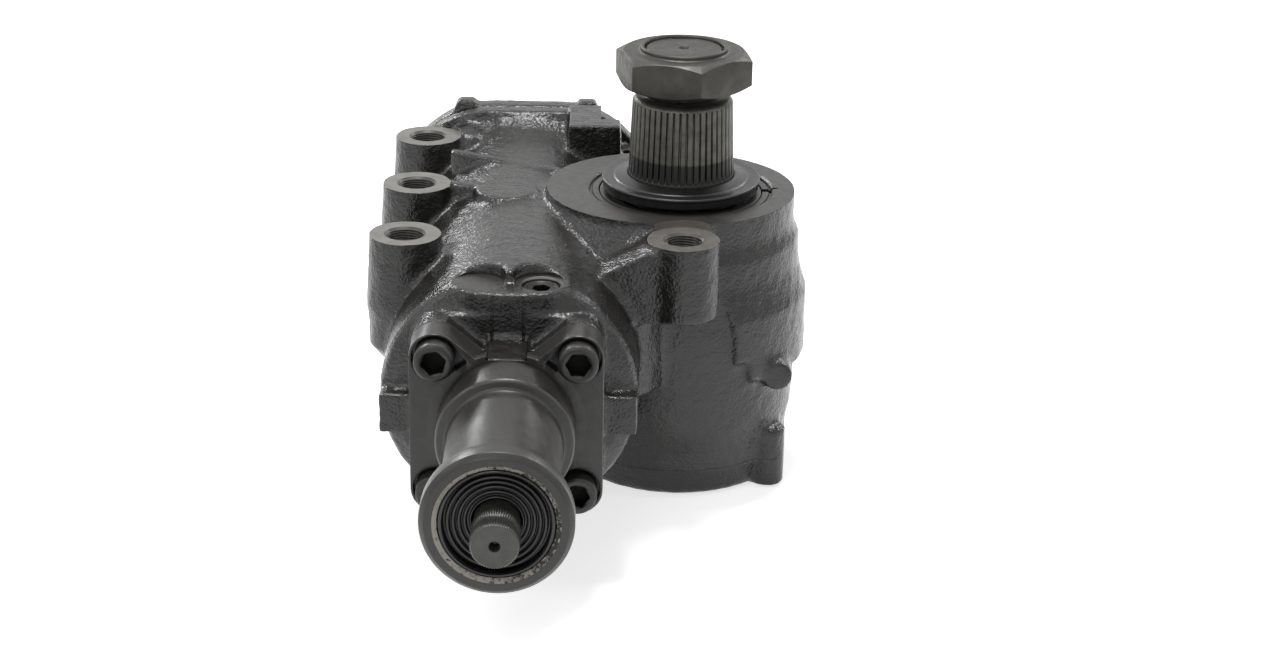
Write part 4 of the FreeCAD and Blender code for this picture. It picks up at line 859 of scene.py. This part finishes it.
headSizes = {"teeth": 48, "seat": 30.7, "foot": 14.5, "low": 30.4, "high": 28.85, "lowZ": 17.5, "highZ": 56.4,
             "groove": 1.5, "threadRadius": 22.5, "threadDepth": 0.85, "pitch": 1.5, "threadLow": 61.5,
             "threadHigh": 68, "start": 9.9,
             "shoulder": [(57.9, 28.1), (58.9, 27.1), (59.3, 26.3), (59.3, 21.2), (61.8, 21.2), (61.8, 0)],
             "end": [(0, 66), (21.9, 66), (21.9, 86.4), (21.0, 87.4), (3.4, 87.4), (2.2, 85.4), (2.2, 80),
                     (0, 79)],
             "keyway": ((-6.5, 6.5), (18.6, 26), (84.8, 92))}
toothSides = [(-0.5, 1), (-0.44, 1), (-0.38, 0.55), (-0.33, 0.1), (-0.29, 0), (0, 0),
              (0.29, 0), (0.33, 0.1), (0.38, 0.55), (0.44, 1), (0.5, 1)]


def toothWedge(count, rows, sides):
    # rows: (height, outer radius, root radius); sides: (share of the pitch, share of the groove's depth)
    corners, faces = [], []
    for z, outer, root in rows:
        for t, g in sides:
            r, a = outer - (outer - root) * g, 2 * math.pi * t / count
            corners.append((r * math.cos(a) * mm, r * math.sin(a) * mm, z * mm))
    width = len(sides)
    for j in range(len(rows) - 1):
        for k in range(width - 1):
            a = j * width + k
            faces.append((a, a + 1, a + width + 1, a + width))
    return welded(meshFrom("wedge", corners, faces), 0.0005)


def makeSectorShaft():
    s = headSizes
    foot = addObject("shaftFoot", dress(mergedCopy("sector_shaft"), oiledSteel))
    cut(foot, [dress(box((-40, 40), (-40, 40), (s["start"] + 0.1, 95)), oiledSteel)])
    slope = (s["low"] - s["high"]) / (s["highZ"] - s["lowZ"])
    seat, groove = s["seat"], s["groove"]
    rows = [(s["start"], 0, 0), (s["start"], seat, seat), (s["foot"] - 0.6, seat, seat),
            (s["foot"], seat - 0.3, seat - 0.3)]
    for z in (15.2, 15.9, 16.6, 17.4, 18.4, 30, 44, s["highZ"]):
        # the grooves run out over the first few millimetres
        runOut = min(1.0, (z - s["foot"]) / 3.6) ** 0.6
        outer = s["low"] + (s["lowZ"] - z) * slope
        rows.append((z, outer, outer - groove * runOut))
    rows.append((s["highZ"] + 0.5, s["high"] - 0.1, s["high"] - 0.3))
    rows += [(z, r, r) for z, r in s["shoulder"]]
    spline = repeatAround("spline", toothWedge(s["teeth"], rows, toothSides), s["teeth"], splineSteel)
    faceOutwards(spline.data, 0.003)
    screw = threadSleeve(s["threadRadius"], s["threadDepth"], s["pitch"], s["threadLow"], s["threadHigh"],
                         oiledSteel, 96)
    end = addObject("shaftEnd", dress(turned(eased(s["end"], 0.25), 96), nutSteel))
    cut(end, [dress(box(*s["keyway"]), darkSteel)])
    piece = assembled("outputShaft", [foot, spline, screw, end])
    return finished(piece, "oiled_steel", "output", "sector_shaft", angle=28)


nutSizes = {"base": 66, "top": 86, "flats": 70, "turn": -17, "chamfer": 27, "lip": 25.1, "lipTop": 88.6,
            "bore": 22.55}


def makeNut():
    s = nutSizes
    base, top, lip, lipTop, bore = (s[key] for key in ("base", "top", "lip", "lipTop", "bore"))
    piece = addObject("outputNut", dress(prism(hexagon(s["flats"], s["turn"]), base, top), nutSteel))
    corner, face = s["flats"] / math.sqrt(3) + 0.5, s["flats"] / 2 - 0.8
    reach = (corner - face) * math.tan(math.radians(s["chamfer"]))
    cone = turned([(0, base), (face, base), (corner, base + reach), (corner, top - reach), (face, top), (0, top)],
                  128)
    collar = turned(eased([(bore, top - 2), (lip + 1.4, top - 1), (lip + 1.2, top + 0.05), (lip, top + 0.5),
                           (lip, lipTop - 0.6), (lip - 0.6, lipTop), (bore + 0.7, lipTop),
                           (bore + 0.15, lipTop - 0.8)], 0.2), 128)
    hole = turned([(0, base - 3), (bore + 2.2, base - 3), (bore + 2.2, base), (bore, base + 1.4),
                   (bore, lipTop + 2), (0, lipTop + 2)], 128)
    cut(piece, [dress(cone, nutSteel)], "INTERSECT")
    cut(piece, [dress(collar, nutSteel)], "UNION")
    cut(piece, [dress(hole, darkSteel)])
    bevelled(piece, 0.45, 28, 2)
    return finished(piece, "phosphated_steel", "output", "pitman_nut", angle=26)


sealProfiles = {
    "dustCap": [(30.75, 4.8), (44.6, 4.8), (45.1, 5.4), (45.2, 9.0), (45.8, 9.8), (45.9, 10.8), (45.1, 11.4),
                (42.0, 10.9), (39.0, 11.0), (38.2, 11.7), (35.0, 12.2), (32.6, 13.2), (31.4, 13.5), (30.75, 13.0)],
    "snapRing": [(47.6, -0.5), (54.4, -0.5), (54.4, 1.8), (51.6, 1.8), (51.2, 2.6), (47.6, 2.6)],
    "ringSlit": ((40, 60), (-2.5, 2.5), (-3, 6)),
    "carrier": [(42.05, -7.9), (52.8, -7.9), (52.8, -0.7), (47.3, -0.7), (46.9, 2.3), (42.05, 2.3)],
}


def makeOutputSeals():
    s = sealProfiles
    cap = turned(eased(s["dustCap"], 0.35), 160)
    finished(addObject("shaftDustCap", dress(cap, blackRubber)), "black_rubber", "output", "shaft_dust_cap")
    snapRing = addObject("snapRing", dress(turned(eased(s["snapRing"], 0.3), 128), smoothPaint))
    cut(snapRing, [dress(box(*s["ringSlit"]), darkSteel)])
    finished(snapRing, "dark_steel", "gearbox", "retaining_ring")
    carrier = turned(eased(s["carrier"], 0.4), 128)
    finished(addObject("sealCarrier", dress(carrier, smoothPaint)), "machined_iron", "gearbox", "seal_carrier")


# Input stub and its dust seal

stubSizes = {"teeth": 60, "radius": 12.2, "depth": 0.75,
             "sides": [(-0.5, 1), (-0.34, 0.7), (-0.16, 0), (0.16, 0), (0.34, 0.7), (0.5, 1)]}


def makeInputShaft():
    s = stubSizes
    foot = addObject("stubFoot", dress(mergedCopy("input_shaft"), oiledSteel))
    cut(foot, [dress(onMainAxis(rod(30, -340, -296)), oiledSteel)])
    r = s["radius"]
    root = r - s["depth"]
    # a neck between two serrated lengths, and the centre hole in the end
    rows = [(295.5, 0, 0), (295.5, r - 0.7, r - 0.7), (298.5, r - 0.7, r - 0.7), (299.3, r, root),
            (305.2, r, root), (306.0, r - 0.9, r - 0.9), (308, r - 1.6, r - 1.6), (310.0, r - 0.9, r - 0.9),
            (310.8, r, root), (316.7, r, root), (317.3, r - 0.6, root), (318, r - 1.1, r - 1.1),
            (318, 2.9, 2.9), (316.4, 2.1, 2.1), (311, 1.9, 1.9), (310.5, 0, 0)]
    stub = repeatAround("stub", toothWedge(s["teeth"], rows, s["sides"]), s["teeth"], oiledSteel)
    faceOutwards(stub.data, 0.003)
    facingFront(stub.data)
    return finished(assembled("inputShaft", [foot, stub]), "oiled_steel", "input", "input_shaft", angle=28)


pleatSizes = {"back": -281.5, "crest": -292.6, "fold": -289.6, "pleats": 4, "first": 23.9, "step": 2.78,
              "rise": 0.5}


def makeDustSeal():
    # pleated rubber: ridges between deep folds, inside a glossy outer lip
    s = pleatSizes
    back, fold = s["back"], s["fold"]
    outer = [(28.95, back), (28.95, -293.0), (28.6, -294.1), (27.9, -294.7), (27.1, -294.5), (26.4, -293.6),
             (26.0, -292.2), (26.0, fold), (26.0, back)]
    points = [(26.05, back), (26.05, fold - 0.2), (25.6, fold)]
    for k in range(s["pleats"]):
        r = s["first"] - s["step"] * k
        crest = s["crest"] + s["rise"] * k
        points += [(r + 1.05, fold), (r + 0.85, crest + 0.5), (r + 0.35, crest), (r - 0.35, crest),
                   (r - 0.85, crest + 0.5), (r - 1.05, fold)]
    points += [(13.6, fold), (13.3, -291.0), (12.7, -291.4), (12.25, -290.4), (12.25, -286.5), (22, back)]
    pleats = dress(onMainAxis(turned(eased(points, 0.3), 128)), blackRubber)
    lip = dress(onMainAxis(turned(eased(outer, 0.4), 128)), glossRubber)
    return finished(addObject("inputDustSeal", joined([pleats, lip])), "black_rubber", "gearbox",
                    "input_dust_seal", angle=40)


# Plug, screws and adjuster

def makePortPlug():
    s = housingSkin
    z, place = s["portZ"], (layout["mainX"] + s["portX"], s["portY"])
    body = turned(eased([(0, z - 14), (9.4, z - 14), (9.9, z - 13), (9.9, z - 2.2), (9.2, z - 1.6), (8.0, z - 1.6),
                         (7.4, z - 2.4), (0, z - 2.4)], 0.35), 64)
    piece = addObject("portPlug", dress(placed(body, *place), darkSteel))
    socket = prism(hexagon(9, 12), z - 9, z + 3)
    # the socket's walls take the near-black steel as painted shade
    cut(piece, [dress(placed(socket, *place), socketShadeSteel)])
    return finished(piece, "dark_steel", "gearbox", "port_plug")


screwSizes = {    # shank and head radius, hexagon across flats, height of the head, length under it
    "front": (7, 10.5, 12, 14, 37),
    "rear": (6, 9, 10, 12, 37),
    "side": (5, 8, 8, 10, 20),
}
rearSizes = {"boltCircle": 70, "bolts": 6, "hole": 6.3, "counterbore": 10.5, "counterboreFace": 152.6, "seat": 153,
             "spigot": [(0, 134), (53, 134), (54.8, 136), (54.8, 139.4), (0, 139.4)]}
adjusterSizes = {"flats": 24, "low": -164, "high": -155, "hole": 8.15, "face": 11.6, "corner": 14.2}


def socketScrew(shank, head, socket, headHeight, length):
    # along +Z; the head's seat at 0, the head below it
    profile = eased([(0, -headHeight), (head - 1.3, -headHeight), (head, -headHeight + 1.1), (head, -0.3),
                     (head - 0.3, 0), (shank, 0), (shank, length - 1), (shank - 1, length), (0, length)], 0.35)
    piece = addObject("screw", dress(turned(profile, 64), oiledSteel))
    corner = socket / math.sqrt(3)
    mouth = turned([(0, -headHeight - 1), (corner + 0.9, -headHeight - 1), (corner - 0.6, -headHeight + 0.8),
                    (0, -headHeight + 0.8)], 48)
    depth = headHeight * 0.45
    well = prism(hexagon(socket), -headHeight - 1, -depth)
    cut(piece, [dress(mouth, oiledSteel), dress(well, darkSteel)])
    bevelled(piece, 0.15, 40, 1)
    mesh = piece.data
    bpy.data.objects.remove(piece)
    return mesh, socketShadeSheet(socket - 0.1, -headHeight + 1.1, -depth - 0.05)


def socketShadeSheet(flats, low, high):
    # a near-black sheet on the walls and floor of a hexagon socket that opens downwards, as painted shade
    corners = [(x * mm, y * mm, z * mm) for z in (low, high) for x, y in hexagon(flats)]
    faces = [(k, 6 + k, 6 + (k + 1) % 6, (k + 1) % 6) for k in range(6)] + [tuple(reversed(range(6, 12)))]
    return meshFrom("wellShade", corners, faces)


def screwSet(name, node, sizes, turn, places, axis, seed):
    # each screw's socket is lined with a near-black sheet as painted shade
    heads, shadeSheets = [repeatAt(name, placed(mesh, turn=turn), places, axis, seed, colour)
                      for mesh, colour in zip(socketScrew(*sizes), (screwSteel, socketShadeSteel))]
    heads.data = joined([heads.data, shadeSheets.data], name)
    bpy.data.objects.remove(shadeSheets)
    return finished(heads, "dark_steel", "gearbox", node)


def rearPlaces():
    angles = [math.radians(360 * k / rearSizes["bolts"]) for k in range(rearSizes["bolts"])]
    return [(layout["mainX"] + rearSizes["boltCircle"] * math.cos(a),
             layout["mainZ"] + rearSizes["boltCircle"] * math.sin(a)) for a in angles]


def makeScrews():
    places = [(x, coverSkin["flangeFace"], z) for x, z in frontPlaces()]
    screwSet("frontScrews", "front_cover_screws", screwSizes["front"], alongY, places, (0, 1, 0), 4)
    places = [(x, rearSizes["seat"], z) for x, z in rearPlaces()]
    screwSet("rearScrews", "rear_cover_screws", screwSizes["rear"], alongY.inverted(), places, (0, 1, 0), 9)
    places = [(x, y, sideSizes["seat"]) for x, y in sidePlaces()]
    screwSet("sideScrews", "side_cover_screws", screwSizes["side"], None, places, (0, 0, 1), 2)


def makeRearCover():
    s = rearSizes
    joint = layout["rearJoint"]
    cutters = []
    for x, z in rearPlaces():
        cutters.append(dress(placed(rod(s["hole"], 130, 170, 32), x, 0, z, alongY), darkSteel))
        cutters.append(dress(placed(rod(s["counterbore"], s["counterboreFace"], 170, 48), x, 0, z, alongY),
                             smoothPaint))
    cutters.append(dress(box((-200, 20), (100, joint + 0.2), (-190, 40)), boreIron))
    piece = castSkin("rearCoverCasting", "rear_cover", [onMainAxis(rod(54, joint - 4.5, joint + 2))], plainSkin,
                     castPaint)
    cut(piece, cutters)
    piece.data = joined([piece.data, dress(onMainAxis(turned(s["spigot"])), machinedIron)], "rearCoverCasting")
    return finished(piece, "cast_paint", "gearbox", "rear_cover")


def makeAdjuster():
    s = adjusterSizes
    low, high, face, corner = s["low"], s["high"], s["face"], s["corner"]
    nut = addObject("adjusterNut", dress(prism(hexagon(s["flats"]), low, high), nutSteel))
    cone = turned([(0, low), (face, low), (corner, low + 1.4), (corner, high - 1.4), (face, high), (0, high)], 64)
    cut(nut, [dress(cone, nutSteel)], "INTERSECT")
    cut(nut, [dress(rod(s["hole"], -170, -150, 48), nutSteel)])
    bevelled(nut, 0.25)
    return finished(nut, "dark_steel", "gearbox", "adjuster_lock_nut")


# Stage, lights and camera

stageSizes = {"floorZ": -166, "floorHalf": 4.0, "floorGlow": 0.7, "fillLight": 0.16,
              "cameraPlace": (-45.4, -1353.4, 455.6), "pitch": 21.911, "yaw": 1.0, "roll": 1.178, "lens": 68.906}


def seenWhite(tree):
    # 1 for the camera's rays and for reflected and refracted ones, 0 for the light that falls on the object
    path = tree.nodes.new("ShaderNodeLightPath").outputs
    seen = path["Is Camera Ray"]
    for label in ("Is Glossy Ray", "Is Transmission Ray"):
        seen = mathOf(tree, "MAXIMUM", seen, path[label])
    return seen


def makeStage():
    half = stageSizes["floorHalf"]
    z = stageSizes["floorZ"] * mm
    floor = addObject("floor", meshFrom("floor", [(-half, -half, z), (half, -half, z), (half, half, z),
                                                  (-half, half, z)], [(0, 1, 2, 3)]))
    material, tree, shader = newMaterial("paleFloor")
    shader.inputs["Base Color"].default_value = (0.9, 0.9, 0.9, 1)
    shader.inputs["Roughness"].default_value = 0.9
    shader.inputs["Emission Color"].default_value = (1, 1, 1, 1)
    feed(tree, shader.inputs["Emission Strength"],
         mathOf(tree, "MULTIPLY", seenWhite(tree), stageSizes["floorGlow"]))
    dress(floor, material)
    world = bpy.data.worlds.new("studio")
    bpy.context.scene.world = world
    world.use_nodes = True
    tree = world.node_tree
    back = tree.nodes["Background"]
    back.inputs["Color"].default_value = (1, 1, 1, 1)
    feed(tree, back.inputs["Strength"], mathOf(tree, "MAXIMUM", seenWhite(tree), stageSizes["fillLight"]))


lamps = [    # name, place, what it looks at, width and height, power in watts
    ("topBox", (-0.1, 0.1, 1.4), (-0.05, 0, 0), (0.5, 0.3), 18),
    ("backLeftBox", (-1.0, 1.5, 0.8), (-0.05, 0, 0), (0.3, 0.4), 8),
    ("backRightBox", (1.05, 1.35, 1.1), (-0.05, 0, 0), (0.4, 0.4), 7),
    ("leftBox", (-1.3, -0.3, 0.9), (-0.05, 0, -0.05), (0.25, 0.6), 3),
    ("rightBox", (1.3, -0.3, 0.8), (-0.05, 0, -0.05), (0.25, 0.6), 1.5),
    ("frontBox", (-0.5, -1.5, 1.1), (-0.05, 0, -0.1), (0.7, 0.5), 5),
]


def makeLights():
    for name, place, aim, sides, power in lamps:
        light = bpy.data.lights.new(name, "AREA")
        light.shape = "RECTANGLE"
        light.size, light.size_y = sides
        light.energy = power
        lamp = bpy.data.objects.new(name, light)
        lamp.location = place
        lamp.rotation_euler = (Vector(aim) - Vector(place)).to_track_quat("-Z", "Y").to_euler()
        lamp.visible_camera = False
        bpy.context.scene.collection.objects.link(lamp)


def makeCamera():
    s = stageSizes
    camera = bpy.data.cameras.new("camera")
    camera.lens = s["lens"]
    camera.sensor_width = 36
    camera.clip_start, camera.clip_end = 0.05, 30
    pitch, yaw, roll = (math.radians(s[k]) for k in ("pitch", "yaw", "roll"))
    right = Vector((math.cos(yaw), -math.sin(yaw), 0))
    ahead = Vector((math.sin(yaw) * math.cos(pitch), math.cos(yaw) * math.cos(pitch), -math.sin(pitch)))
    up = right.cross(ahead)
    across = math.cos(roll) * right + math.sin(roll) * up
    above = -math.sin(roll) * right + math.cos(roll) * up
    holder = bpy.data.objects.new("camera", camera)
    holder.matrix_world = Matrix.Translation(Vector(s["cameraPlace"]) * mm) @ Matrix(
        (across, above, -ahead)).transposed().to_4x4()
    bpy.context.scene.collection.objects.link(holder)
    bpy.context.scene.camera = holder


makeStage()
makeLights()
makeCamera()
print("stage ready")

makeHousing()
makeThreads()
makeFrontCover()
makeRearCover()
makeSideCover()
print("castings ready")
makeSectorShaft()
makeNut()
makeOutputSeals()
makeInputShaft()
makeDustSeal()
print("shafts ready")
makePortPlug()
makeScrews()
makeAdjuster()

bpy.context.scene.view_settings.view_transform = "Standard"
print("scene ready")
